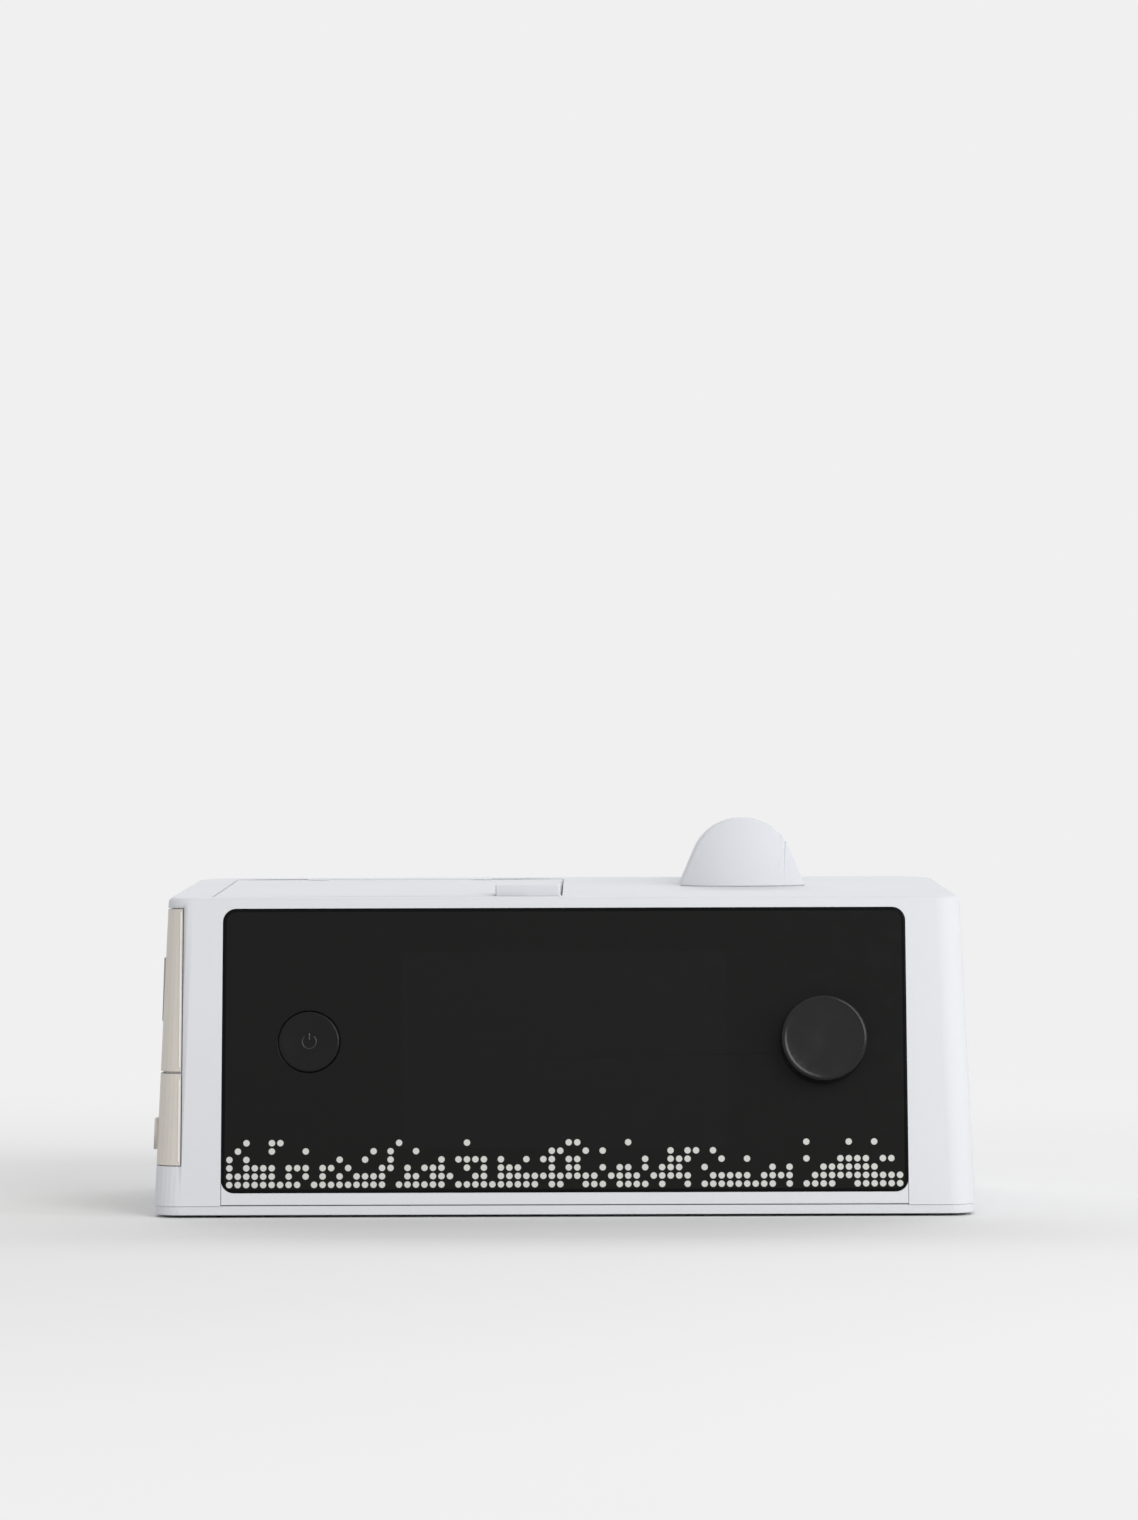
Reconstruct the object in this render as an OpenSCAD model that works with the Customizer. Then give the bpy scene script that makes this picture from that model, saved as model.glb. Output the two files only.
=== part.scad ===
// Sleep-therapy machine with a heated water tank, as an assembly of separate pieces.
// Millimetres, +Z up, the front faces -Y, the origin is at the middle of the footprint.

/* [Body] */
// Width of the body at its base
body_w = 271; // [269:1:276]
// Depth of the body at its base
body_d = 165; // [164:1:172]
// Height of the body at its rear top edge
body_h = 110; // [109:1:114]
// Wall of the housing
wall = 2.5; // [2:0.1:2.8]
// Angle at which the side walls lean in
side_lean = 2.05; // [1.85:0.05:2.3]
// Angle at which the front leans back
front_lean = 9; // [8:0.2:10]
// Slope of the top, down to the front
top_slope = 2; // [1.7:0.1:2.2]
// Upright corner radius at the front
front_corner_r = 9; // [8.6:0.1:9.5]
// Upright corner radius at the rear
rear_corner_r = 18; // [15:1:22]
// Radius of the long top edge at each side
side_top_r = 1.8; // [1.4:0.2:3]
// Radius of the top edge at the front
front_top_r = 1.5; // [1:0.25:2.5]
// Radius of the top edge at the rear
rear_top_r = 3; // [2:0.5:5]
// Height of the seam between tray and housing
seam_z = 3.9; // [3.6:0.1:4.2]
// Gap under the tray
tray_gap = 0.9; // [0.8:0.1:1.2]
// Gap that shows round a cover
cover_gap = 0.4; // [0.35:0.05:0.5]
// Clearance between fixed pieces that fit into each other
fit = 0.25; // [0.2:0.05:0.3]

/* [Front panel] */
// Distance of the black panel from the body's sides, at the base
panel_side = 22.6; // [22.2:0.1:24]
// Distance of the black panel from the front's top edge
panel_top = 3.7; // [3.5:0.1:4.5]
// Distance from the base up the front to the panel
panel_s = 8.3; // [7.8:0.1:8.6]
// Corner radius of the panel
panel_r = 4.3; // [3:0.1:6]
// Gap that shows round the panel
front_gap = 0.15; // [0.1:0.05:0.25]
// Thickness of the panel
panel_t = 1.8; // [1.5:0.1:2.2]
// Thickness of the bezel behind the panel
bezel_t = 2.5; // [2:0.1:3]
// Depth of the bezel's skirt
bezel_depth = 6; // [5:0.5:6]
// Height of the controls' centres above the panel's middle
control_up = 2.8; // [1:0.2:5.6]
// Distance of the front board behind the front face
board_depth = 12; // [11.6:0.1:12.6]
// Thickness of the circuit boards
board_t = 1.6; // [1.2:0.2:1.6]
// Width of the display module
display_w = 121; // [118:1:124]
// Distance of the display module from the panel's top and bottom
display_margin = 8.85; // [8.25:0.1:10.05]
// Thickness of the display module
display_t = 4; // [3:0.5:4.5]
// Height of the display's centre above the panel's middle
display_up = 0.1; // [-1:0.1:1.5]

/* [Controls] */
// Distance of the start button from the panel's left end
button_side = 28.7; // [28:0.1:34]
// Radius of the start button
button_r = 10; // [9:0.5:11]
// Travel of the start button
button_travel = 0.8; // [0.5:0.1:0.9]
// Distance of the knob from the panel's right end
knob_side = 27.4; // [27:0.1:33]
// Radius of the knob
knob_r = 14.2; // [13:0.2:16]
// Height of the knob's face above the panel
knob_h = 8; // [7.6:0.2:9]
// Travel of the knob when it is pushed
knob_travel = 0.5; // [0.3:0.1:0.6]
// Radius of the encoder shaft
shaft_r = 3; // [2.5:0.1:3]
// Running clearance of shafts and pins
running = 0.06; // [0.04:0.01:0.08]

/* [Water tank] */
// Distance of the tank from the body's left side
tank_side = 35.5; // [34.5:0.5:37.5]
// Right side of the tank
tank_x1 = -8; // [-10:0.5:-8]
// Distance of the tank from the body's front
tank_front = 38.5; // [38.5:0.5:40.5]
// Distance of the tank from the body's rear
tank_rear = 28.5; // [28.5:0.5:30.5]
// Underside of the tank
tank_z = 22.8; // [22.4:0.2:23.2]
// Depth of the tank's rim under the body's rear top edge
tank_drop = 13.5; // [13:0.25:14]
// Wall of the tank
tank_wall = 2; // [1.5:0.25:2.5]
// Clearance of the tank in its bay
tank_clear = 1.2; // [1:0.1:1.3]
// Wall of the tank bay
bay_wall = 1.6; // [1.4:0.1:1.8]

/* [Lid] */
// Distance of the lid from the body's left side
lid_side = 18.5; // [17.5:0.5:21.5]
// Right end of the lid
lid_x1 = -1; // [-2:0.5:-1]
// Distance of the lid from the body's front
lid_front = 25.5; // [25.5:0.5:26.5]
// Distance of the lid's hinge behind the tank
hinge_back = 8; // [7.5:0.5:9]
// Thickness of the lid
lid_t = 2.8; // [2.4:0.2:3]
// Gap round the lid
lid_gap = 0.4; // [0.4:0.1:0.6]
// Radius of the lid's hinge barrel
lid_barrel_r = 3.9; // [3.5:0.1:3.9]
// Radius of the hinge pins
pin_r = 1.5; // [1.2:0.1:1.6]
// Width of the latch
latch_w = 21.5; // [19:0.5:22]
// Depth of the latch
latch_d = 13; // [12:0.5:13]
// Height of the latch above the lid
latch_h = 3.6; // [2.8:0.2:3.8]
// Travel of the latch
latch_travel = 1.5; // [1:0.1:1.6]

/* [Air path] */
// Radius of the hose port
port_r = 11; // [10.5:0.1:11]
// Bore radius of the hose port
port_bore = 9; // [8:0.5:9]
// Distance of the hose port from the body's right side
port_side = 73.9; // [72:0.1:76]
// Height of the hose port's axis above the body's rear top edge
port_rise = 3.6; // [3:0.1:4]
// Radius of the outlet hood's arch
hood_r = 17.6; // [17.2:0.1:18.4]
// Length of the outlet hood from front to rear
hood_len = 40; // [38:0.5:42]
// Distance from the hood's front to the hose port's upright
hood_ahead = 18; // [16.5:0.5:19]
// Radius of the hood's bowed front
hood_bow_r = 38; // [34:1:42]
// Wall of the hood
hood_wall = 2.5; // [2:0.1:2.6]
// Depth of the ducts that reach the tank under the body's rear top edge
duct_drop = 33; // [32:0.5:34]
// Outer radius of the round ducts
duct_r = 9; // [8:0.5:9]
// Wall of the ducts
duct_wall = 1.5; // [1.2:0.1:1.8]
// Distance of the tank's air inlet from its front
air_in = 17; // [16:0.5:18]
// Distance of the tank's air outlet from its rear
air_out = 32; // [31:0.5:33]

/* [Blower] */
// Distance of the blower's middle from the body's right side
blower_side = 65.5; // [64.5:0.5:67.5]
// Place of the blower from front to rear
blower_y = -2; // [-4:0.5:0]
// Outer radius of the blower
blower_r = 36; // [34:0.5:37]
// Underside of the blower
blower_z = 14; // [13:0.5:15]
// Share of the room under the hose port that the blower's lower half takes
lower_share = 0.36; // [0.34:0.01:0.38]
// Share of the room under the hose port that the blower's upper half takes
upper_share = 0.4; // [0.38:0.01:0.41]
// Radius of the impeller
impeller_r = 28; // [26:0.5:29]
// Number of blades
blades = 11; // [7:1:13]
// Radius of the motor shaft
motor_shaft_r = 2; // [1.5:0.1:2]

/* [Left covers] */
// Width of the covers where they wrap round to the front
cover_wrap = 9.1; // [8.7:0.1:10.5]
// Lower edge of the filter door
door_z0 = 17.2; // [17:0.1:18]
// Upper edge of the filter door
door_z1 = 47; // [46:0.2:48]
// Depth of the side cover's upper edge under the body's rear top edge
cover_drop = 8.8; // [8.8:0.2:12]
// Place of the door's hinge from front to rear
door_hinge_y = 20; // [18:0.5:22]
// Thickness of the covers
skin = 1.4; // [1.2:0.1:1.5]
// Radius of the door's hinge pin
door_pin_r = 0.8; // [0.6:0.1:0.8]
// Number of air slots in the door
door_slots = 9; // [5:1:11]

/* [Rear] */
// Left end of the rear panel
rear_x0 = 12; // [10:0.5:14]
// Distance of the rear panel from the body's right side
rear_side = 29.5; // [28.5:0.5:31.5]
// Lower edge of the rear panel
rear_z0 = 8.5; // [8.2:0.1:9]
// Upper edge of the rear panel
rear_z1 = 31; // [30.5:0.1:32]
// Distance of the power jack from the rear panel's right end
jack_side = 18; // [16:0.5:20]
// Radius of the jack's centre pin
jack_pin_r = 1; // [0.8:0.05:1.2]
// Bore radius of the jack
jack_bore = 3.2; // [3:0.1:3.3]
// Place of the card slot
card_x = 40; // [38:0.5:44]
// Width of the memory card
card_w = 24; // [22:0.5:24]
// Radius of the rubber feet
foot_r = 7; // [6:0.5:8]

/* [Hidden] */

$fn = 48;
corner_steps = 8;
fillet_steps = 5;
eps = 0.01;
far = 300;

pale = "#dcdee3";
warm = "#cfc6ba";
black = "#202322";
steel = "#b9bdc2";
duct_grey = "#a9b0b8";
board_green = "#2f6b4a";
rubber = "#3a3d40";

// The sloping faces of the body
function side_x(z) = body_w / 2 - z * tan(side_lean);
function front_y(z) = -body_d / 2 + z * tan(front_lean);
function top_z(y) = body_h - (body_d / 2 - y) * tan(top_slope);
top_front_z = top_z(front_y(body_h));

// Places that follow from the body's size
left = -body_w / 2;
right = body_w / 2;
front = -body_d / 2;
rear = body_d / 2;
panel_w = body_w - 2 * panel_side;
panel_len = top_front_z / cos(front_lean) - panel_s - panel_top;
panel_mid = panel_s + panel_len / 2;
control_s = panel_mid + control_up;
display_s = panel_mid + display_up;
display_h = panel_len - 2 * display_margin;
button_x = panel_w / 2 - button_side;
knob_x = panel_w / 2 - knob_side;
tank_x0 = left + tank_side;
tank_y0 = front + tank_front;
tank_y1 = rear - tank_rear;
tank_top = body_h - tank_drop;
lid_x0 = left + lid_side;
lid_y0 = front + lid_front;
port_z = body_h + port_rise;
duct_z = body_h - duct_drop;
air_in_y = tank_y0 + air_in;
air_out_y = tank_y1 - air_out;
port_x = right - port_side;
port_low = duct_z - port_r;
hood_y0 = air_out_y - hood_ahead;
hood_y1 = hood_y0 + hood_len;
blower_x = right - blower_side;
room_h = port_low - 1.5 - blower_z;
lower_h = lower_share * room_h;
upper_h = upper_share * room_h;
wrap_x = right - cover_wrap;
cover_z1 = body_h - cover_drop;
rear_x1 = right - rear_side;
jack_x = rear_x1 - jack_side;

// A point of the body's surface, drawn in by t: corner c, step k round it, step m up the top fillet.
// Step -1 is the foot, at height z0.
function body_point(t, z0, c, k, m) = let(
    at_front = c == 0 || c == 3,
    a = 90 * (c - 1 + k / corner_steps),
    corner_r = (at_front ? front_corner_r : rear_corner_r) - t,
    edge_r = max(0.2, (at_front ? front_top_r : rear_top_r) - t),
    side_r = max(0.2, side_top_r - t),
    top_r = side_r * pow(cos(a), 2) + edge_r * pow(sin(a), 2),
    phi = m < 0 ? 0 : 90 * m / fillet_steps,
    near_top = at_front ? top_front_z : body_h,
    z = m < 0 ? z0 : near_top - t - top_r * (1 - sin(phi)),
    cx = (c < 2 ? 1 : -1) * (side_x(z) - t - corner_r),
    cy = at_front ? front_y(z) + t + corner_r : body_d / 2 - t - corner_r,
    x = cx + (corner_r - side_r * (1 - cos(phi))) * cos(a),
    y = cy + (corner_r - edge_r * (1 - cos(phi))) * sin(a))
    [x, y, m < 0 ? z0 : z + top_z(y) - near_top];

ring_n = 4 * (corner_steps + 1);

// The body's outer form from z0 up, drawn in by t on every side
module body_form(t, z0) {
    points = [for (m = [-1:fillet_steps]) for (c = [0:3]) for (k = [0:corner_steps])
        body_point(t, z0, c, k, m)];
    walls = [for (m = [0:fillet_steps]) for (i = [0:ring_n - 1]) let(
        a = m * ring_n + i,
        b = m * ring_n + (i + 1) % ring_n)
        each [[a, b + ring_n, b], [a, a + ring_n, b + ring_n]]];
    foot = [[for (i = [0:ring_n - 1]) i]];
    cap = [[for (i = [ring_n - 1:-1:0]) (fillet_steps + 1) * ring_n + i]];
    polyhedron(points, concat(foot, walls, cap), convexity = 4);
}

// The body's outline at height z, drawn in by t
function plan(t, z) = [for (c = [0:3]) for (k = [0:corner_steps]) let(p = body_point(t, z, c, k, -1))
    [p[0], p[1]]];

// Corner points of a rectangle with round corners, centred
function round_rect(w, h, r) = [for (c = [0:3]) for (k = [0:corner_steps]) let(
    a = 90 * (c - 1 + k / corner_steps))
    [(c < 2 ? 1 : -1) * (w / 2 - r) + r * cos(a), (c == 0 || c == 3 ? -1 : 1) * (h / 2 - r) + r * sin(a)]];

module plate(w, h, r, t) {
    linear_extrude(t) polygon(round_rect(w, h, r));
}

// A box between two corners
module block(a, b) {
    translate(a) cube([b[0] - a[0], b[1] - a[1], b[2] - a[2]]);
}

// An open frame between two corners: a block with a smaller one taken out all the way through in Z
module frame(a, b, t) {
    difference() {
        block(a, b);
        block([a[0] + t, a[1] + t, a[2] - 1], [b[0] - t, b[1] - t, b[2] + 1]);
    }
}

// A tube along +Z
module tube(r_out, r_in, h) {
    difference() {
        cylinder(r = r_out, h = h);
        translate([0, 0, -1]) cylinder(r = r_in, h = h + 2);
    }
}

// A screw that is driven in along -Z: its head stands on the origin
module screw(r, len) {
    cylinder(r = 2 * r, h = 1.4 * r);
    translate([0, 0, -len]) cylinder(r = r, h = len + eps);
}

// Frames of the sloping faces: local Z leaves the face, local Y runs up it
module on_front() {
    translate([0, -body_d / 2, 0]) rotate([90 - front_lean, 0, 0]) children();
}

module on_left() {
    translate([-body_w / 2, 0, 0]) rotate([0, side_lean, 0]) rotate([90, 0, -90]) children();
}

module on_top() {
    translate([0, body_d / 2, body_h]) rotate([top_slope, 0, 0]) children();
}

module on_rear() {
    translate([0, body_d / 2, 0]) rotate([90, 0, 180]) children();
}

// Everything under the sloping top, drawn down by t
module under_top(t) {
    on_top() translate([-far, -far, -far - t]) cube([2 * far, 2 * far, far]);
}

// ---- Base ----
lip_h = 4;
lip_t = 1.6;
boss_x = right - 16.5;
boss_y0 = front + 20.5;
boss_y1 = rear - 20.5;
boss_r = 4;
boss_h = 11;
screw_r = 1.4;
screw_head_z = 2.4;
bay_leg_x = [tank_x0 + 8, tank_x1 - 8];
bay_leg_y = [tank_y0 + 8, tank_y1 - 8];
mount_r = 26;
mount_pad_r = 6;
feet = [[left + 27.5, front + 24.5], [right - 27.5, front + 24.5],
    [left + 39.5, rear - 20.5], [right - 39.5, rear - 20.5]];
foot_top = tray_gap + 0.8;
base_screw_at = concat([for (x = [-boss_x, boss_x]) for (y = [boss_y0, boss_y1]) [x, y]],
    [for (x = bay_leg_x) for (y = bay_leg_y) [x, y]]);

// The lip inside the housing's foot; it stops short of the bosses, the bezel and the rear panel
module tray_lip() difference() {
    translate([0, 0, seam_z - eps]) linear_extrude(lip_h) difference() {
        polygon(plan(wall + fit, seam_z + lip_h));
        polygon(plan(wall + fit + lip_t, seam_z + lip_h));
    }
    for (x = [-boss_x, boss_x]) for (y = [boss_y0, boss_y1]) translate([x, y, 0]) {
        cylinder(r = boss_r + 1, h = far);
        block([-20, -2, 0], [20, 2, far]);
    }
    block([-panel_w / 2 - 5, -far, 0], [panel_w / 2 + 5, 0, far]);
    block([rear_x0 - 4, 0, 0], [rear_x1 + 4, far, far]);
}

module base_tray() color(pale) difference() {
    union() {
        translate([0, 0, tray_gap]) linear_extrude(seam_z - tray_gap) polygon(plan(0.3, seam_z));
        tray_lip();
        for (a = [45:90:315]) translate([blower_x, blower_y, seam_z - eps]) rotate(a)
            translate([mount_r, 0, 0]) tube(mount_pad_r + 1.6, mount_pad_r + fit, 3);
    }
    for (p = feet) translate([p[0], p[1], 0]) cylinder(r = foot_r + fit, h = foot_top);
    for (p = base_screw_at) translate([p[0], p[1], 0]) {
        cylinder(r = 2 * screw_r + fit, h = screw_head_z);
        cylinder(r = screw_r + 0.2, h = far);
    }
}

module rubber_feet() color(rubber) {
    for (p = feet) translate([p[0], p[1], 0]) {
        cylinder(r1 = foot_r - 0.6, r2 = foot_r, h = 0.6);
        translate([0, 0, 0.6 - eps]) cylinder(r = foot_r, h = foot_top - 0.6 + eps);
    }
}

module base_screws() color(steel) {
    for (p = base_screw_at) translate([p[0], p[1], screw_head_z]) mirror([0, 0, 1]) {
        cylinder(r = 2 * screw_r, h = 0.9);
        translate([0, 0, -8]) cylinder(r = screw_r, h = 8 + eps);
    }
}

// ---- Housing ----
backing_t = 2.1;
opening_x0 = lid_x0 - lid_gap;
opening_x1 = lid_x1 + lid_gap;
opening_y0 = lid_y0 - lid_gap;
hinge_y = tank_y1 + hinge_back;
hinge_z = top_z(hinge_y) - 4;
opening_y1 = hinge_y + 4 + lid_gap;
door_axis_depth = 2.6;
door_barrel_r = 2.4;
door_free_y = door_hinge_y + door_barrel_r + cover_gap + 0.3;
filter_y0 = front + 30.5;
filter_y1 = 8;
filter_z0 = 21;
filter_z1 = 43;
cover_y1 = rear - 42.5;
louvers = 8;
louver_pitch = 3.4;
louver_z = body_h - 38;

// The wrapped zone at the left front corner, between two heights and back to y1, grown by g
module wrap_zone(z0, z1, y1, g) {
    block([-far, -far, z0 - g], [-wrap_x + g, y1 + g, z1 + g]);
}

module body_shell(t0, t1, z0) {
    difference() {
        body_form(t0, z0);
        body_form(t1, z0 - 1);
    }
}

module door_lug(s0, s1) {
    on_left() block([-door_hinge_y - 3.2, s0, -5.4], [-door_hinge_y + 3.2, s1, -skin - 0.2]);
}

module main_housing() color(pale) difference() {
    union() {
        difference() {
            body_shell(0, wall, seam_z);
            wrap_zone(door_z0, door_z1, door_free_y, cover_gap);
            wrap_zone(door_z1 + cover_gap, cover_z1, cover_y1, cover_gap);
        }
        intersection() {
            body_shell(skin + 0.1, skin + 0.1 + backing_t, seam_z);
            wrap_zone(door_z0, cover_z1, cover_y1, 2.5);
        }
        for (p = base_screw_at) if (abs(p[0]) == boss_x) translate([p[0], p[1], seam_z]) {
            cylinder(r = boss_r, h = boss_h);
            translate([0, -1, 0]) mirror([p[0] < 0 ? 1 : 0, 0, 0])
                cube([side_x(seam_z + boss_h) - wall / 2 - boss_x, 2, boss_h]);
        }
        for (z = board_screw_z) for (y = board_screw_y) translate([board_x + board_t, y, z])
            rotate([0, 90, 0])
            cylinder(r = 3, h = side_x(z) - wall / 2 - board_x - board_t);
        door_lug(door_z0 - 4.6, door_z0 - 0.4);
        door_lug(door_z1 + 0.6, door_z1 + 4.8);
    }
    for (p = base_screw_at) if (abs(p[0]) == boss_x) translate([p[0], p[1], 0])
        cylinder(r = screw_r + 0.05, h = 11);
    for (z = board_screw_z) for (y = board_screw_y) translate([board_x, y, z]) rotate([0, 90, 0])
        cylinder(r = small_screw_r + 0.05, h = board_t + 5.2);
    on_front() translate([0, 0, -20]) linear_extrude(40) front_outline(front_gap, -1);
    block([opening_x0, opening_y0, tank_top + 1], [opening_x1, opening_y1, far]);
    along_y(hood_y0 + hood_front, far) trough_outline(trough_out + fit);
    on_left() {
        translate([-door_hinge_y, 0, -door_axis_depth]) rotate([-90, 0, 0]) {
            translate([0, 0, door_z0 - 0.4 - eps]) cylinder(r = door_barrel_r + 1,
                h = door_z1 - door_z0 + 1);
            translate([0, 0, door_z0 - 4]) cylinder(r = door_pin_r + 0.02, h = door_z1 - door_z0 + 8.2);
        }
    }
    block([-far, filter_y0 - 1.5, filter_z0 - 1.5], [chamber_x0 - 1, filter_y1 + 1.5, filter_z1 + 1.5]);
    on_rear() block([-rear_x1, rear_z0, -wall - 1], [-rear_x0, rear_z1, 1]);
    for (i = [0:louvers - 1]) translate([rear_x1 - 22 + louver_pitch * i, rear - wall - 1, louver_z])
        cube([1.6, far, 20]);
}

// ---- Front ----
bezel_s0 = seam_z + 0.4;
bezel_s1 = panel_s + panel_len;
front_board_x = panel_w / 2 - 14;
front_board_s = [panel_s + 12, panel_s + panel_len - 12];
board_hole_x = [6 - front_board_x, front_board_x - 6];
board_hole_s = [front_board_s[0] + 6, front_board_s[1] - 6];
small_screw_r = 1.1;
flange_out = 3;

// The opening in the front, grown by g: the panel's round-cornered outline on straight sides from s0 up
module front_outline(g, s0) {
    translate([0, panel_mid]) polygon(round_rect(panel_w + 2 * g, panel_len + 2 * g, panel_r + g));
    translate([-panel_w / 2 - g, s0]) square([panel_w + 2 * g, panel_mid - s0]);
}

module front_bezel() color(pale) difference() {
    bezel_body();
    block([-far, -far, -far], [far, far, seam_z + 0.3]);
}

module bezel_body() on_front() difference() {
    union() {
        difference() {
            translate([0, 0, -bezel_depth]) linear_extrude(bezel_depth) front_outline(0, bezel_s0);
            block([-panel_w / 2 + 2, bezel_s0 + 2, -bezel_depth - 1], [panel_w / 2 - 2, bezel_s1 - 2,
                -panel_t - bezel_t]);
        }
        block([-panel_w / 2 - flange_out, bezel_s0 + 6, -wall - 2.2],
            [panel_w / 2 + flange_out, bezel_s1 - 7.5, -wall - 0.3]);
        for (x = board_hole_x) for (s = board_hole_s) translate([x, s, -board_depth])
            cylinder(r = 3.5, h = board_depth - panel_t - 1);
    }
    translate([0, panel_mid, -panel_t]) plate(panel_w + 0.2, panel_len + 0.2, panel_r, panel_t + 1);
    translate([0, display_s, -far / 2]) block([-display_w / 2 - fit, -display_h / 2 - fit, 0],
        [display_w / 2 + fit, display_h / 2 + fit, far]);
    translate([-button_x, control_s, -far / 2]) cylinder(r = button_r + 1.8, h = far);
    translate([knob_x, control_s, -far / 2]) cylinder(r = bushing_r + 0.2, h = far);
    for (x = board_hole_x) for (s = board_hole_s) translate([x, s, -board_depth - 1])
        cylinder(r = small_screw_r + 0.05, h = 7.5);
}

module front_panel() color(black) on_front() translate([0, 0, -panel_t]) difference() {
    translate([0, panel_mid, 0]) plate(panel_w, panel_len, panel_r, panel_t);
    translate([-button_x, control_s, -1]) cylinder(r = button_r + 0.3, h = panel_t + 2);
    translate([knob_x, control_s, -1]) cylinder(r = nut_r + 1.2, h = panel_t + 2);
}

module display_module() color("#15181a") on_front() translate([0, display_s, -panel_t - 0.2 - display_t])
    block([-display_w / 2, -display_h / 2, 0], [display_w / 2, display_h / 2, display_t]);

switch_top = -board_depth + 3.8;
stem_end = switch_top + 0.1 + button_travel;

module power_button() color("#2a2d2c") on_front() translate([-button_x, control_s, 0]) {
    translate([0, 0, -2.2]) cylinder(r = button_r, h = 2.5);
    translate([0, 0, -3.2]) cylinder(r = button_r + 1.2, h = 1.1);
    translate([0, 0, stem_end]) cylinder(r = 2.2, h = -3.1 - stem_end);
}

module button_switch() color(steel) on_front() translate([-button_x, control_s, -board_depth]) {
    block([-3, -3, 0], [3, 3, 3.4]);
    translate([0, 0, 3.4 - eps]) cylinder(r = 1.6, h = 0.4 + eps);
}

bushing_r = shaft_r + 0.8;
nut_r = 5.8;
shaft_top = knob_h - 2;
shaft_foot = -9;
knob_foot = knob_travel + 0.3;
plunger_t = 1.5;
plunger_room = plunger_t + knob_travel + 0.4;

module encoder_body() color(steel) on_front() translate([knob_x, control_s, 0]) difference() {
    union() {
        block([-6, -6.2, -board_depth], [6, 6.2, -panel_t - bezel_t - 1.2]);
        translate([0, 0, -panel_t - bezel_t - 1.3]) cylinder(r = bushing_r, h = panel_t + bezel_t + 1.6);
    }
    translate([0, 0, shaft_foot]) cylinder(r = shaft_r + running, h = far);
    translate([0, 0, shaft_foot - 0.1 - plunger_room]) cylinder(r = 4.3, h = plunger_room + 0.2);
}

module encoder_plunger() color(black) on_front() translate([knob_x, control_s,
    shaft_foot - 0.1 - plunger_t])
    cylinder(r = 4, h = plunger_t);

module encoder_shaft() color(steel) on_front() translate([knob_x, control_s, shaft_foot])
    cylinder(r = shaft_r, h = shaft_top - shaft_foot);

module encoder_nut() color(steel) on_front() translate([knob_x, control_s, -panel_t]) difference() {
    cylinder(r = nut_r, h = 2, $fn = 6);
    translate([0, 0, -1]) cylinder(r = bushing_r + 0.05, h = 4);
}

module control_knob() color("#2c2f2e") on_front() translate([knob_x, control_s, 0])
    rotate_extrude($fn = 96)
    polygon([[shaft_r + 0.03, knob_foot + 0.3], [5.5, knob_foot + 0.3], [5.5, shaft_top + 0.1 - 1],
        [knob_r - 1.8, shaft_top + 0.1 - 1], [knob_r - 1.8, knob_foot], [knob_r, knob_foot], [knob_r,
            knob_h - 0.9],
        [knob_r - 0.3, knob_h - 0.3], [knob_r - 0.9, knob_h], [knob_r - 2, knob_h - 0.2], [0,
            knob_h - 0.6],
        [0, shaft_top + 0.1], [shaft_r + 0.03, shaft_top + 0.1]]);

module front_board() color(board_green) on_front() difference() {
    block([-front_board_x, front_board_s[0], -board_depth - board_t],
        [front_board_x, front_board_s[1], -board_depth]);
    for (x = board_hole_x) for (s = board_hole_s) translate([x, s, -far / 2])
        cylinder(r = small_screw_r + 0.2, h = far);
}

module front_board_screws() color(steel) on_front() for (x = board_hole_x) for (s = board_hole_s)
    translate([x, s, -board_depth - board_t]) mirror([0, 0, 1]) screw(small_screw_r, 5);

// ---- Main board, upright along the right wall ----
board_x = right - 13.5;
board_y0 = front + 38.5;
board_y1 = rear - 32.5;
board_z0 = 12;
board_z1 = body_h - 26;
board_screw_y = [board_y0 + 4, board_y1 - 4];
board_screw_z = [board_z0 + 4, board_z1 - 4];

module main_board() color(board_green) {
    difference() {
        block([board_x, board_y0, board_z0], [board_x + board_t, board_y1, board_z1]);
        for (z = board_screw_z) for (y = board_screw_y) translate([board_x - 1, y, z]) rotate([0, 90, 0])
            cylinder(r = small_screw_r + 0.2, h = board_t + 2);
    }
    block([board_x - 3.5, board_y0 + 32, board_z0 + 32], [board_x + eps, board_y0 + 50, board_z0 + 50]);
    block([board_x - 6, board_y1 - 26, board_z0 + 8], [board_x + eps, board_y1 - 10, board_z0 + 16]);
    for (y = [board_y0 + 10, board_y0 + 22]) translate([board_x + eps, y, board_z1 - 14]) rotate([0, -90, 0])
        cylinder(r = 4, h = 8);
}

module main_board_screws() color(steel) for (z = board_screw_z) for (y = board_screw_y)
    translate([board_x, y, z]) rotate([0, -90, 0]) screw(small_screw_r, 6);

// ---- Left covers ----
raised_z0 = body_h - 46;
raised_z1 = body_h - 25;
raised_t = 0.7;
raised_y0 = front_y(raised_z1) + front_corner_r + 1.5;
raised_y1 = 30;
nib_y = -front - 22.5;
nib_z = 22;

module side_cover() color(warm) {
    on_left() block([-raised_y1, raised_z0, -0.3], [-raised_y0, raised_z1, raised_t]);
    intersection() {
        body_shell(0, skin, seam_z);
        wrap_zone(door_z1 + 2 * cover_gap, cover_z1, cover_y1, 0);
    }
}

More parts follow.
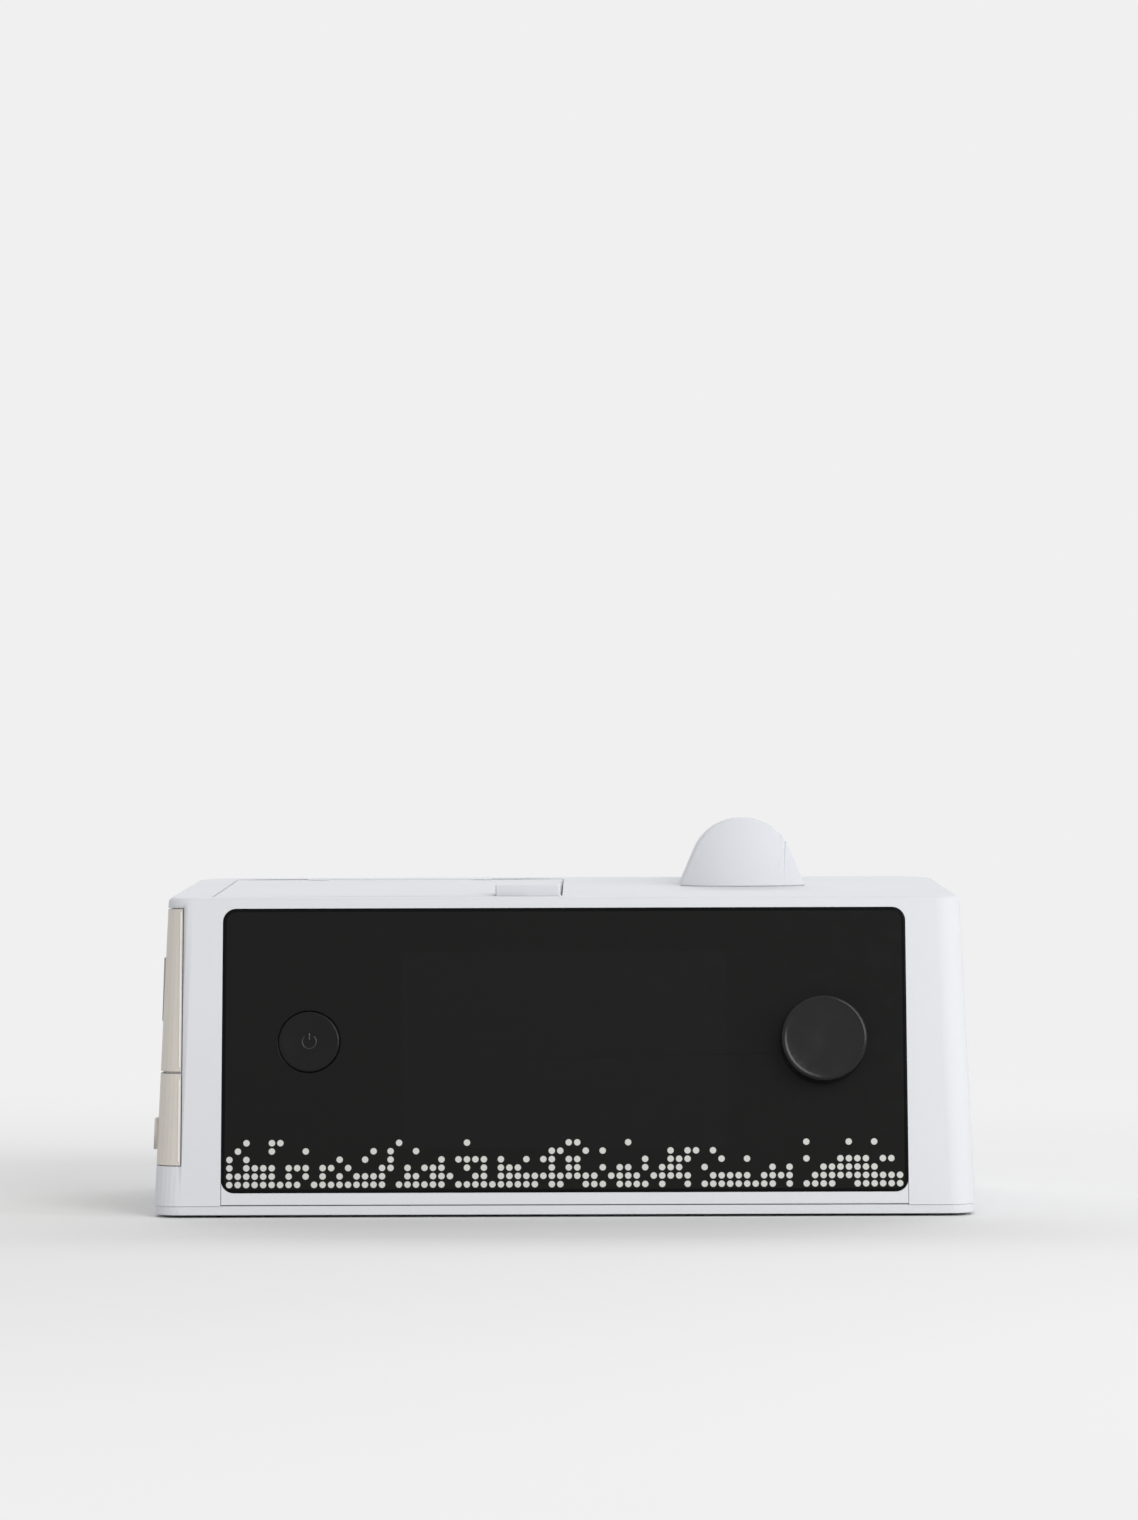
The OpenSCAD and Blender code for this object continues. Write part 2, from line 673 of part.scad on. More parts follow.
module filter_door() color(warm) difference() {
    union() {
        intersection() {
            body_shell(0, skin, seam_z);
            wrap_zone(door_z0, door_z1, door_hinge_y, 0);
        }
        on_left() {
            translate([-door_hinge_y, door_z0, -door_axis_depth]) rotate([-90, 0, 0])
                cylinder(r = door_barrel_r, h = door_z1 - door_z0 - 0.1);
            block([nib_y, nib_z, -0.3], [nib_y + 10, nib_z + 10, 1.2]);
        }
    }
    on_left() {
        translate([-door_hinge_y, 0, -door_axis_depth]) rotate([-90, 0, 0])
            cylinder(r = door_pin_r + running, h = far);
        for (i = [0:door_slots - 1]) translate([-filter_y0 - 8 - 6 * i, 25, -5]) cube([2.6, 16, 10]);
    }
}

module filter_door_pin() color(steel) on_left() translate([-door_hinge_y, door_z0 - 3.8,
    -door_axis_depth])
    rotate([-90, 0, 0]) cylinder(r = door_pin_r, h = door_z1 - door_z0 + 7.8);

chamber_x0 = left + 16.5;
chamber_x1 = chamber_x0 + 14.5;
duct_y1 = rear - 6.5;

module air_filter() color("#4a5258")
    block([chamber_x0 - 7.8, filter_y0, filter_z0], [chamber_x0, filter_y1, filter_z1]);

module filter_frame() color(duct_grey) difference() {
    block([chamber_x0 - 8.4, filter_y0 - 2, filter_z0 - 2], [chamber_x0, filter_y1 + 2, filter_z1 + 2]);
    block([chamber_x0 - 20, filter_y0 - fit, filter_z0 - fit], [chamber_x0 + 1, filter_y1 + fit,
        filter_z1 + fit]);
}

module inlet_chamber() color(duct_grey) difference() {
    block([chamber_x0, filter_y0 - 4, filter_z0 - 2.5], [chamber_x1, duct_y1, duct_high]);
    block([chamber_x0 + duct_wall, filter_y0 - 4 + duct_wall, filter_z0 - 2.5 + duct_wall],
        [chamber_x1 - duct_wall, duct_y1 - duct_wall, duct_high - duct_wall]);
    for (y = [filter_y0 + 3:9:filter_y1 - 7]) block([chamber_x0 - 1, y, filter_z0 + 2], [chamber_x0 + 3,
        y + 6, filter_z1 - 2]);
    block([chamber_x1 - 3, duct_y0 + duct_wall, duct_low + duct_wall],
        [chamber_x1 + 1, duct_y1 - duct_wall, duct_high - duct_wall]);
}

// ---- Air path ----
duct_y0 = rear - 24;
duct_low = 36;
duct_high = 62;
over_z0 = blower_z + lower_h + upper_h + 2.5;
over_h = port_low - 1.2 - over_z0;
inlet_r = 12;

module inlet_duct() color(duct_grey) difference() {
    union() {
        block([chamber_x1, duct_y0, duct_low], [blower_x + 20, duct_y1, duct_high]);
        block([blower_x - 18, blower_y - 18, over_z0], [blower_x + 18, duct_y0 + 5, over_z0 + over_h]);
    }
    block([chamber_x1 - 1, duct_y0 + duct_wall, duct_low + duct_wall],
        [blower_x + 20 - duct_wall, duct_y1 - duct_wall, duct_high - duct_wall]);
    block([blower_x - 18 + duct_wall, blower_y - 18 + duct_wall, over_z0 + duct_wall],
        [blower_x + 18 - duct_wall, duct_y0 + 8, over_z0 + over_h - duct_wall]);
    translate([blower_x, blower_y, over_z0 - 1]) cylinder(r = inlet_r, h = 5);
}

bay_x1 = tank_x1 + tank_clear + bay_wall;
riser_x0 = bay_x1 + 2;
riser_x1 = 18;
riser_y0 = air_in_y - 11;
riser_y1 = air_in_y + 11;
split_z = blower_z + lower_h;

module blower_outlet_duct() color(duct_grey) difference() {
    block([riser_x0, riser_y0, split_z], [riser_x1, riser_y1, duct_z + 11]);
    block([riser_x0 + duct_wall, riser_y0 + duct_wall, split_z + duct_wall],
        [riser_x1 - duct_wall, riser_y1 - duct_wall, duct_z + 11 - duct_wall]);
    block([riser_x1 - 3, riser_y0 + 2, split_z + 2], [riser_x1 + 1, riser_y1 - 2, split_z + upper_h - 4]);
    translate([riser_x0 - 1, air_in_y, duct_z]) rotate([0, 90, 0]) cylinder(r = seal_bore, h = 4);
}

seal_bore = duct_r - duct_wall;

module outlet_duct() color(duct_grey) translate([riser_x0, air_out_y, duct_z]) rotate([0, 90, 0])
    difference() {
    union() {
        cylinder(r = duct_r + 2, h = 2);
        cylinder(r = duct_r, h = port_x - riser_x0 - port_bore - 4);
    }
    translate([0, 0, -1]) cylinder(r = seal_bore, h = far);
}

module duct_seals() color(rubber) {
    for (y = [air_in_y, air_out_y]) translate([tank_x1 + 0.3, y, duct_z]) rotate([0, 90, 0])
        tube(duct_r, seal_bore, riser_x0 - tank_x1 - 0.3);
    translate([blower_x, blower_y, over_z0 - 2.5]) tube(inlet_r + 2, inlet_r, 2.5);
}

port_end = hood_y1 + 22;
shoulder_y = air_out_y + port_r + 1;
shoulder_t = 2;

module outlet_port() color("#c9ccd2") difference() {
    union() {
        translate([port_x, air_out_y, port_low]) cylinder(r = port_r, h = port_z - port_low);
        translate([port_x, air_out_y, port_z]) sphere(r = port_r);
        translate([port_x, air_out_y, port_z]) rotate([-90, 0, 0])
            cylinder(r = port_r, h = port_end - air_out_y);
        translate([port_x, shoulder_y, port_z]) rotate([-90, 0, 0])
            cylinder(r = port_r + 1.2, h = shoulder_t);
        translate([port_x - port_bore - 14, air_out_y, duct_z]) rotate([0, 90, 0])
            cylinder(r = port_r, h = port_bore + 14);
    }
    translate([port_x, air_out_y, port_low + 2]) cylinder(r = port_bore, h = port_z - port_low - 2);
    translate([port_x, air_out_y, port_z]) sphere(r = port_bore);
    translate([port_x, air_out_y, port_z]) rotate([-90, 0, 0]) cylinder(r = port_bore, h = far);
    translate([port_x - port_bore - 15, air_out_y, duct_z]) rotate([0, 90, 0]) {
        cylinder(r = duct_r + fit, h = 11.5);
        cylinder(r = seal_bore, h = port_bore + 15);
    }
}

hood_drop = port_z - top_z(hood_y0) + 0.5;
hood_flank = 23.3;
arch_steps = 24;
hood_front = 6;
trough_r = hood_r - hood_wall;
trough_out = hood_r - 0.3;

// The hood seen along Y: a round arch whose flanks flare straight to its foot
module hood_arch(r) {
    foot_x = r * cos(hood_flank) + (r * sin(hood_flank) + hood_drop) * tan(hood_flank);
    polygon(concat([[-foot_x, -hood_drop], [foot_x, -hood_drop]],
        [for (i = [0:arch_steps]) let(a = hood_flank + (180 - 2 * hood_flank) * i / arch_steps)
            [r * cos(a), r * sin(a)]]));
}

// The trough's outline, open upwards
module trough_outline(r) {
    circle(r = r);
    translate([-r, 0]) square([2 * r, 2 * r]);
}

module along_y(y0, y1) {
    translate([port_x, y1, port_z]) rotate([90, 0, 0]) linear_extrude(y1 - y0) children();
}

module outlet_hood() color(pale) difference() {
    union() {
        difference() {
            intersection() {
                along_y(hood_y0, hood_y1) hood_arch(hood_r);
                translate([port_x, hood_y0 + hood_bow_r, 0]) cylinder(r = hood_bow_r, h = far, $fn = 96);
            }
            under_top(-0.05);
        }
        intersection() {
            along_y(hood_y0 + hood_front + fit, hood_y1 - 0.5) circle(r = trough_out);
            block([0, -far, 0], [far, far, port_z + 2]);
        }
        intersection() {
            along_y(hood_y1 - 1, body_d / 2 - 0.3) circle(r = trough_out);
            under_top(0);
        }
    }
    along_y(hood_y0 + hood_front, far) circle(r = trough_r);
    translate([port_x, air_out_y, 0]) cylinder(r = port_r + 0.3, h = port_z);
}

// ---- Blower ----
tube_r = 9;
bearing_r = 5;
ear_r = 5;
ear_at = blower_r + 3.4;
ear_a = [20, 110, 165, 290];
out_y0 = riser_y0;
out_y1 = riser_y1;

module ears(z, h, hole) {
    for (a = ear_a) translate([blower_x, blower_y, z]) rotate(a) translate([ear_at, 0, 0])
        tube(ear_r, hole, h);
}

module blower_scroll_bottom() color("#8d959c") difference() {
    union() {
        translate([blower_x, blower_y, blower_z]) cylinder(r = blower_r, h = lower_h);
        ears(split_z - 4, 3.8, screw_r + 0.05);
    }
    translate([blower_x, blower_y, blower_z + 2]) {
        tube(blower_r - 2, tube_r, lower_h);
        translate([0, 0, lower_h - 5]) cylinder(r = blower_r - 2, h = lower_h);
        cylinder(r = bearing_r + 0.02, h = lower_h);
    }
}

module blower_scroll_top() color("#8d959c") difference() {
    union() {
        translate([blower_x, blower_y, split_z]) cylinder(r = blower_r, h = upper_h);
        ears(split_z, 4, screw_r + 0.2);
        block([riser_x1, out_y0, split_z], [blower_x - 15, out_y1, split_z + upper_h - 2]);
    }
    translate([blower_x, blower_y, split_z - 1]) cylinder(r = blower_r - 2, h = upper_h - 1);
    translate([blower_x, blower_y, split_z]) cylinder(r = inlet_r, h = far);
    block([riser_x1 - 1, out_y0 + 2, split_z + 2], [blower_x - 13, out_y1 - 2, split_z + upper_h - 4]);
}

module blower_screws() color(steel) for (a = ear_a) translate([blower_x, blower_y, split_z + 4]) rotate(a)
    translate([ear_at, 0, 0]) screw(screw_r, 7.5);

rotor_z = split_z + 1;

module impeller() color("#e8eaec") translate([blower_x, blower_y, rotor_z + 1.5]) {
    difference() {
        union() {
            cylinder(r = impeller_r, h = 1.5);
            cylinder(r = 7, h = 8);
        }
        translate([0, 0, -1]) cylinder(r = motor_shaft_r + 0.03, h = 12);
    }
    for (i = [0:blades - 1]) rotate(360 * i / blades) translate([6.5, 0, 1.4]) rotate(-24)
        cube([impeller_r * 0.74, 1.1, 9]);
}

module rotor_cup() color(steel) translate([blower_x, blower_y, 0]) difference() {
    translate([0, 0, blower_z + 3.5]) cylinder(r = 19.5, h = rotor_z + 1.5 - blower_z - 3.5);
    translate([0, 0, blower_z + 3]) cylinder(r = 17.2, h = rotor_z - blower_z - 3);
    cylinder(r = motor_shaft_r + 0.03, h = far);
}

module motor_stator() color("#8a5a3a") translate([blower_x, blower_y, blower_z + 2]) difference() {
    tube(16, tube_r + 0.02, lower_h - 7);
    for (i = [0:8]) rotate(40 * i) translate([10.5, -1, 1.5]) cube([10, 2, lower_h]);
}

module motor_shaft() color(steel) translate([blower_x, blower_y, blower_z + 2.4])
    cylinder(r = motor_shaft_r, h = rotor_z + 9 - blower_z - 2.4);

module motor_bearings() color(steel) for (z = [blower_z + 2, blower_z + lower_h - 7])
    translate([blower_x, blower_y, z]) tube(bearing_r, motor_shaft_r + running, 4);

module blower_mounts() color(rubber) for (a = [45:90:315]) translate([blower_x, blower_y, seam_z])
    rotate(a)
    translate([mount_r, 0, 0]) cylinder(r = mount_pad_r, h = blower_z - seam_z);

// ---- Tank bay and tank ----
bay_z = 11.5;
bay_floor = bay_z + bay_wall;
ledge_z = tank_top - 0.5;
upper_gap = 0.8;
bay_x0 = tank_x0 - tank_clear - bay_wall;
bay_y0 = tank_y0 - tank_clear - bay_wall;
bay_y1 = tank_y1 + tank_clear + bay_wall;

module tank_bay() color("#c4c7cc") difference() {
    union() {
        block([bay_x0, bay_y0, bay_z], [bay_x1, bay_y1, ledge_z]);
        intersection() {
            block([opening_x0 - upper_gap - bay_wall, opening_y0 - upper_gap - bay_wall,
                ledge_z - bay_wall],
                [opening_x1 + upper_gap + bay_wall, opening_y1 + upper_gap + bay_wall, body_h]);
            under_top(wall + 0.3);
        }
        for (x = bay_leg_x) for (y = bay_leg_y) translate([x, y, seam_z])
            cylinder(r = boss_r, h = bay_z - seam_z + 1);
    }
    block([bay_x0 + bay_wall, bay_y0 + bay_wall, bay_floor], [bay_x1 - bay_wall, bay_y1 - bay_wall, far]);
    block([opening_x0 - upper_gap, opening_y0 - upper_gap, ledge_z], [opening_x1 + upper_gap,
        opening_y1 + upper_gap, far]);
    for (y = [air_in_y, air_out_y]) translate([bay_x1 - 5, y, duct_z]) rotate([0, 90, 0])
        cylinder(r = duct_r + 0.5, h = 10);
    for (x = bay_leg_x) for (y = bay_leg_y) translate([x, y, 0]) cylinder(r = screw_r + 0.05, h = bay_z);
}

flange_w = 3.5;

module water_tank() color("#b9cdd8") difference() {
    union() {
        block([tank_x0, tank_y0, tank_z + 1.2], [tank_x1, tank_y1, tank_top]);
        block([tank_x0 - flange_w, tank_y0 - flange_w, tank_top - eps], [tank_x1 + flange_w,
            tank_y1 + flange_w, tank_top + 2]);
        for (x = lug_x) {
            block([x, tank_y1 + 2, tank_top], [x + lug_w, hinge_y + 3.6, hinge_z]);
            translate([x, hinge_y, hinge_z]) rotate([0, 90, 0]) cylinder(r = 3.6, h = lug_w);
        }
    }
    block([tank_x0 + tank_wall, tank_y0 + tank_wall, tank_z + 3], [tank_x1 - tank_wall,
        tank_y1 - tank_wall, far]);
    block([tank_x0 + 8, tank_y0 + 8, 0], [tank_x1 - 8, tank_y1 - 8, far]);
    for (y = [air_in_y, air_out_y]) translate([tank_x1 - 5, y, duct_z]) rotate([0, 90, 0])
        cylinder(r = seal_bore, h = 10);
    translate([lid_x0, hinge_y, hinge_z]) rotate([0, 90, 0]) cylinder(r = pin_r + 0.02, h = far);
}

module tank_plate() color(steel) translate([(tank_x0 + tank_x1) / 2, (tank_y0 + tank_y1) / 2, tank_z])
    plate(tank_x1 - tank_x0 - 4, tank_y1 - tank_y0 - 4, 4, 1.2);

gasket_h = 1.9;

module tank_gasket() color(rubber) translate([0, 0, tank_top + 2])
    frame([tank_x0 - 1, tank_y0 - 1, 0], [tank_x1 + 1, tank_y1 + 1, gasket_h], 3);

module heater_plate() color(steel) translate([(tank_x0 + tank_x1) / 2, (tank_y0 + tank_y1) / 2,
    tank_z - 3.3])
    plate(tank_x1 - tank_x0 - 14, tank_y1 - tank_y0 - 14, 6, 3);

module heater_insulator() color("#8f8a80") translate([(tank_x0 + tank_x1) / 2, (tank_y0 + tank_y1) / 2,
    bay_floor])
    plate(tank_x1 - tank_x0 - 10, tank_y1 - tank_y0 - 10, 6, tank_z - 3.3 - bay_floor);

// ---- Lid and latch ----
lug_w = 6;
lug_x = [lid_x0 + 26, lid_x1 - 32];
latch_x1 = lid_x1 - 0.4;
latch_x0 = latch_x1 - latch_w;
latch_y0 = lid_y0 + 0.5;
latch_y1 = latch_y0 + latch_d;
pocket_gap = 0.3;
pocket_floor = 2.3;
pocket_t = 2;
hook_x0 = latch_x0 + 5;
hook_x1 = latch_x1 - 5;
hook_y1 = tank_y0 - flange_w - 1;
hook_y0 = hook_y1 - 2;
hook_z = tank_top + latch_travel;

// A layer under the sloping top, between two depths, over a rectangle
module top_layer(x0, x1, y0, y1, d0, d1) {
    on_top() translate([x0, y0 - body_d / 2, -d1]) cube([x1 - x0, y1 - y0, d1 - d0]);
}

module tank_lid() color(pale) difference() {
    union() {
        top_layer(lid_x0, lid_x1, lid_y0, hinge_y, 0, lid_t);
        translate([lid_x0 + 0.5, hinge_y, hinge_z]) rotate([0, 90, 0])
            cylinder(r = lid_barrel_r, h = lid_x1 - lid_x0 - 1);
        intersection() {
            translate([0, 0, tank_top + 2 + gasket_h + 0.3]) frame([tank_x0 - 1, tank_y0 - 1, 0],
                [tank_x1 + 1, tank_y1 + 1, 10], 2.4);
            under_top(1);
        }
        top_layer(latch_x0 - 2, lid_x1, lid_y0, latch_y1 + 2, 1, pocket_floor + pocket_t);
    }
    top_layer(latch_x0 - pocket_gap, latch_x1 + pocket_gap, latch_y0 - pocket_gap,
        latch_y1 + pocket_gap, -5, pocket_floor);
    block([hook_x0 - 0.4, hook_y0 - 0.4, tank_top], [hook_x1 + 0.4, hook_y1 + 0.9, far]);
    for (x = lug_x) translate([x - 0.4, hinge_y, hinge_z]) {
        rotate([0, 90, 0]) cylinder(r = 4.6, h = lug_w + 0.8);
        block([0, -4, -10], [lug_w + 0.8, 10, 10]);
    }
    translate([lid_x0 - 1, hinge_y, hinge_z]) rotate([0, 90, 0]) cylinder(r = pin_r + running, h = far);
}

module lid_hinge_pin() color(steel) translate([lid_x0 + 1.5, hinge_y, hinge_z]) rotate([0, 90, 0])
    cylinder(r = pin_r, h = lid_x1 - lid_x0 - 3);

module lid_latch() color(pale) {
    difference() {
        top_layer(latch_x0, latch_x1, latch_y0, latch_y1, -latch_h, 0.6);
        top_layer(latch_x0 + 1.6, latch_x1 - 1.6, latch_y0 + 1.6, latch_y1 - 1.6, 1.4 - latch_h, 5);
    }
    difference() {
        block([hook_x0, hook_y0, hook_z], [hook_x1, hook_y1, body_h]);
        on_top() translate([-far, -far, latch_h - 1]) cube(2 * far);
    }
    block([hook_x0, hook_y0, hook_z], [hook_x1, hook_y1 + 0.5, hook_z + 1.2]);
}

module latch_spring() color(steel) on_top() translate([(latch_x0 + latch_x1) / 2,
    latch_y0 + 3.7 - body_d / 2, -pocket_floor])
    tube(1.9, 1.3, pocket_floor + latch_h - 1.5 - latch_travel);

// ---- Rear ----
rear_depth = 0.8;
rear_t = 2.2;
jack_z = 19;
card_z = 19;
flap_w = 34;
flap_z0 = 14.5;
flap_z1 = 26;
flap_t = 1.5;
flap_pin_r = 0.8;
rear_screw_x = [rear_x0 + 5, rear_x1 - 5];

module rear_panel() color("#b5b8bd") difference() {
    block([rear_x0 + fit, body_d / 2 - rear_depth - rear_t, rear_z0 + fit],
        [rear_x1 - fit, body_d / 2 - rear_depth, rear_z1 - fit]);
    block([card_x - flap_w / 2 - 0.4, body_d / 2 - rear_depth - flap_t - 0.2, flap_z0 - 2],
        [card_x + flap_w / 2 + 0.4, far, flap_z1 + 0.4]);
    block([card_x - card_w / 2 - 1, 0, card_z - 2], [card_x + card_w / 2 + 1, far, card_z + 2]);
    translate([card_x - flap_w / 2 - 2, flap_axis_y, flap_z0]) rotate([0, 90, 0])
        cylinder(r = flap_pin_r + 0.02, h = flap_w + 4);
    translate([card_x - flap_w / 2 - 0.4, flap_axis_y, flap_z0]) rotate([0, 90, 0])
        cylinder(r = 1.8, h = flap_w + 0.8);
    translate([jack_x, 0, jack_z]) rotate([-90, 0, 0]) cylinder(r = jack_bore + 1.5, h = far);
    for (x = rear_screw_x) translate([x, 0, (rear_z0 + rear_z1) / 2]) rotate([-90, 0, 0])
        cylinder(r = small_screw_r + 0.1, h = far);
}

flap_axis_y = body_d / 2 - rear_depth - flap_t;

module rear_panel_screws() color(steel) for (x = rear_screw_x)
    translate([x, body_d / 2 - rear_depth, (rear_z0 + rear_z1) / 2]) rotate([-90, 0, 0]) {
        cylinder(r = 2 * small_screw_r, h = rear_depth - 0.1);
        translate([0, 0, -5]) cylinder(r = small_screw_r, h = 5 + eps);
    }

module power_jack() color(black) {
    translate([jack_x, body_d / 2 - rear_depth - rear_t, jack_z]) rotate([-90, 0, 0]) difference() {
        union() {
            translate([-6.5, -6, -14]) cube([13, 12, 14]);
            cylinder(r = jack_bore + 1.3, h = rear_t + 0.3);
        }
        translate([0, 0, -10]) cylinder(r = jack_bore, h = far);
    }
    translate([jack_x, body_d / 2 - rear_depth - rear_t - 10.5, jack_z]) rotate([-90, 0, 0])
        cylinder(r = jack_pin_r, h = 10);
}

module card_socket() color(steel) difference() {
    block([card_x - card_w / 2 - 2, body_d / 2 - rear_depth - rear_t - 28, card_z - 2.6],
        [card_x + card_w / 2 + 2, body_d / 2 - rear_depth - rear_t, card_z + 2.6]);
    block([card_x - card_w / 2 - 0.3, body_d / 2 - rear_depth - rear_t - 26, card_z - 1.35],
        [card_x + card_w / 2 + 0.3, body_d / 2, card_z + 1.35]);
}

module memory_card() color("#1f3a5c")
    block([card_x - card_w / 2, body_d / 2 - rear_depth - rear_t - 25.8, card_z - 1.05],
        [card_x + card_w / 2, body_d / 2 - rear_depth - rear_t - 0.3, card_z + 1.05]);

module card_cover() color("#b5b8bd") difference() {
    union() {
        block([card_x - flap_w / 2, flap_axis_y, flap_z0], [card_x + flap_w / 2,
            body_d / 2 - rear_depth, flap_z1]);
        translate([card_x - flap_w / 2, flap_axis_y, flap_z0]) rotate([0, 90, 0])
            cylinder(r = 1.4, h = flap_w);
    }
    translate([card_x - flap_w, flap_axis_y, flap_z0]) rotate([0, 90, 0])
        cylinder(r = flap_pin_r + running, h = 2 * flap_w);
    block([card_x - flap_w, flap_axis_y - 3, flap_z0 - 3], [card_x + flap_w, flap_axis_y - 0.9,
        flap_z0 + 3]);
}

module card_cover_pin() color(steel) translate([card_x - flap_w / 2 - 1.8, flap_axis_y, flap_z0])
    rotate([0, 90, 0])
    cylinder(r = flap_pin_r, h = flap_w + 3.6);

base_tray();
main_housing();
front_bezel();
front_panel();
display_module();
power_button();
button_switch();
control_knob();
encoder_body();
encoder_shaft();
encoder_plunger();
encoder_nut();
front_board();
front_board_screws();
main_board();
main_board_screws();
side_cover();
filter_door();
filter_door_pin();
air_filter();
filter_frame();
inlet_chamber();
inlet_duct();
blower_scroll_bottom();
blower_scroll_top();
blower_screws();
impeller();
rotor_cup();
motor_stator();
motor_shaft();
motor_bearings();
blower_mounts();
blower_outlet_duct();
outlet_duct();
duct_seals();
outlet_hood();
outlet_port();
tank_bay();
water_tank();
tank_plate();
tank_gasket();
tank_lid();
lid_hinge_pin();
lid_latch();
latch_spring();
heater_plate();
heater_insulator();
rear_panel();
rear_panel_screws();
power_jack();
card_socket();
memory_card();
card_cover();
card_cover_pin();
rubber_feet();
base_screws();
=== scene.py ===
from math import cos, pi, radians, tan

import bmesh
import bpy
from mathutils import Matrix, Vector


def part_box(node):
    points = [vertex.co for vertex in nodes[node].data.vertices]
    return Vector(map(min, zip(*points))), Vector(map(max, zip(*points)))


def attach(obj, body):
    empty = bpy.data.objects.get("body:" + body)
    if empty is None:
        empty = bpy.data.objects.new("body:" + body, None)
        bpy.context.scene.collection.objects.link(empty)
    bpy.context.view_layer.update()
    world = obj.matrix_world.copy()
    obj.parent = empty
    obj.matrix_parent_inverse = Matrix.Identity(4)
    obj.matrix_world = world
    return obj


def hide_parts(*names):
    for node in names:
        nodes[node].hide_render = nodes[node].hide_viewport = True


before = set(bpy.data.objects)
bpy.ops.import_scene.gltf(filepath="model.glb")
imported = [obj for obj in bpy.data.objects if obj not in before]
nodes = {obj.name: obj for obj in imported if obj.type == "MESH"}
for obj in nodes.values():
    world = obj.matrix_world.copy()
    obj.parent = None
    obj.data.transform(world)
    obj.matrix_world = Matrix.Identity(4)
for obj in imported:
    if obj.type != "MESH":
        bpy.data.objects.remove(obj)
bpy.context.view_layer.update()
scene = bpy.context.scene

# ---- Base tray ----
# A shallow injection-moulded tray of pale ABS that closes the machine from below.
# The housing drops over its lip, and the seam between the two shows as a thin dark line.


def moulded(name, colour, roughness=0.5, grain=2600, depth=0.06, spread=0.03, specular=0.5):
    """Plastic from a spark-eroded mould: an even fine grain, and a very slight drift in colour and gloss."""
    mat = bpy.data.materials.new(name)
    mat.use_nodes = True
    tree = mat.node_tree
    shader = tree.nodes["Principled BSDF"]
    shader.inputs["Specular IOR Level"].default_value = specular
    where = tree.nodes.new("ShaderNodeTexCoord").outputs["Object"]

    def noise(scale, detail):
        made = tree.nodes.new("ShaderNodeTexNoise")
        made.inputs["Scale"].default_value = scale
        made.inputs["Detail"].default_value = detail
        tree.links.new(where, made.inputs["Vector"])
        return made.outputs["Fac"]

    drift = tree.nodes.new("ShaderNodeMix")
    drift.data_type = "RGBA"
    drift.inputs["A"].default_value = (*[c * (1 - spread) for c in colour], 1)
    drift.inputs["B"].default_value = (*[min(1, c * (1 + spread)) for c in colour], 1)
    tree.links.new(noise(11, 2), drift.inputs["Factor"])
    tree.links.new(drift.outputs["Result"], shader.inputs["Base Color"])
    gloss = tree.nodes.new("ShaderNodeMapRange")
    gloss.inputs["From Min"].default_value = 0.3
    gloss.inputs["From Max"].default_value = 0.7
    gloss.inputs["To Min"].default_value = roughness - 0.05
    gloss.inputs["To Max"].default_value = roughness + 0.05
    tree.links.new(noise(160, 3), gloss.inputs["Value"])
    tree.links.new(gloss.outputs["Result"], shader.inputs["Roughness"])
    bump = tree.nodes.new("ShaderNodeBump")
    bump.inputs["Strength"].default_value = depth
    bump.inputs["Distance"].default_value = 0.0002
    tree.links.new(noise(grain, 2), bump.inputs["Height"])
    tree.links.new(bump.outputs["Normal"], shader.inputs["Normal"])
    return mat


def finish_node(name, material):
    """Gives a piece that shows as it is built its finish."""
    for holder in nodes[name].material_slots:
        holder.material = material


def soften(piece, width, segments=2, angle=32):
    """Breaks the piece's edges as a mould or a cutter leaves them, and shades its round faces as round."""
    for face in piece.data.polygons:
        face.use_smooth = True
    piece.data.set_sharp_from_angle(angle=radians(angle))
    if width:
        edge = piece.modifiers.new("edge", "BEVEL")
        edge.width = width
        edge.segments = segments
        edge.limit_method = "ANGLE"
        edge.angle_limit = radians(angle)
        edge.use_clamp_overlap = False
        edge.harden_normals = True
    shade = piece.modifiers.new("shade", "WEIGHTED_NORMAL")
    shade.keep_sharp = True
    shade.weight = 80


def dressed(name, body, material, width=0.0003, segments=2, angle=32):
    """A merged copy of a built piece, with softened edges, that stands for it."""
    copy = bpy.data.objects.new(name + "_finished", nodes[name].data.copy())
    scene.collection.objects.link(copy)
    bm = bmesh.new()
    bm.from_mesh(copy.data)
    bmesh.ops.remove_doubles(bm, verts=bm.verts, dist=2e-6)
    bm.to_mesh(copy.data)
    bm.free()
    copy.data.materials.clear()
    copy.data.materials.append(material)
    soften(copy, width, segments, angle)
    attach(copy, body)
    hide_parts(name)
    return copy


shell_plastic = moulded("shell_white_plastic", (0.70, 0.713, 0.74), 0.75, specular=0.1)
dressed("base_tray", "machine", shell_plastic, 0.0003)

# ---- Rubber feet and base screws ----
# Four soft rubber discs sit in recesses of the tray and keep the machine from sliding.
# Plated self-tapping screws go up through the tray into the housing's and the tank bay's bosses.


def soft_rubber(name, colour):
    """Dull rubber with a fine mottle, as a blown or pressed foot or seal has."""
    mat = moulded(name, colour, 0.78, 900, 0.25, 0.12, 0.3)
    mat.node_tree.nodes["Principled BSDF"].inputs["Sheen Weight"].default_value = 0.15
    return mat


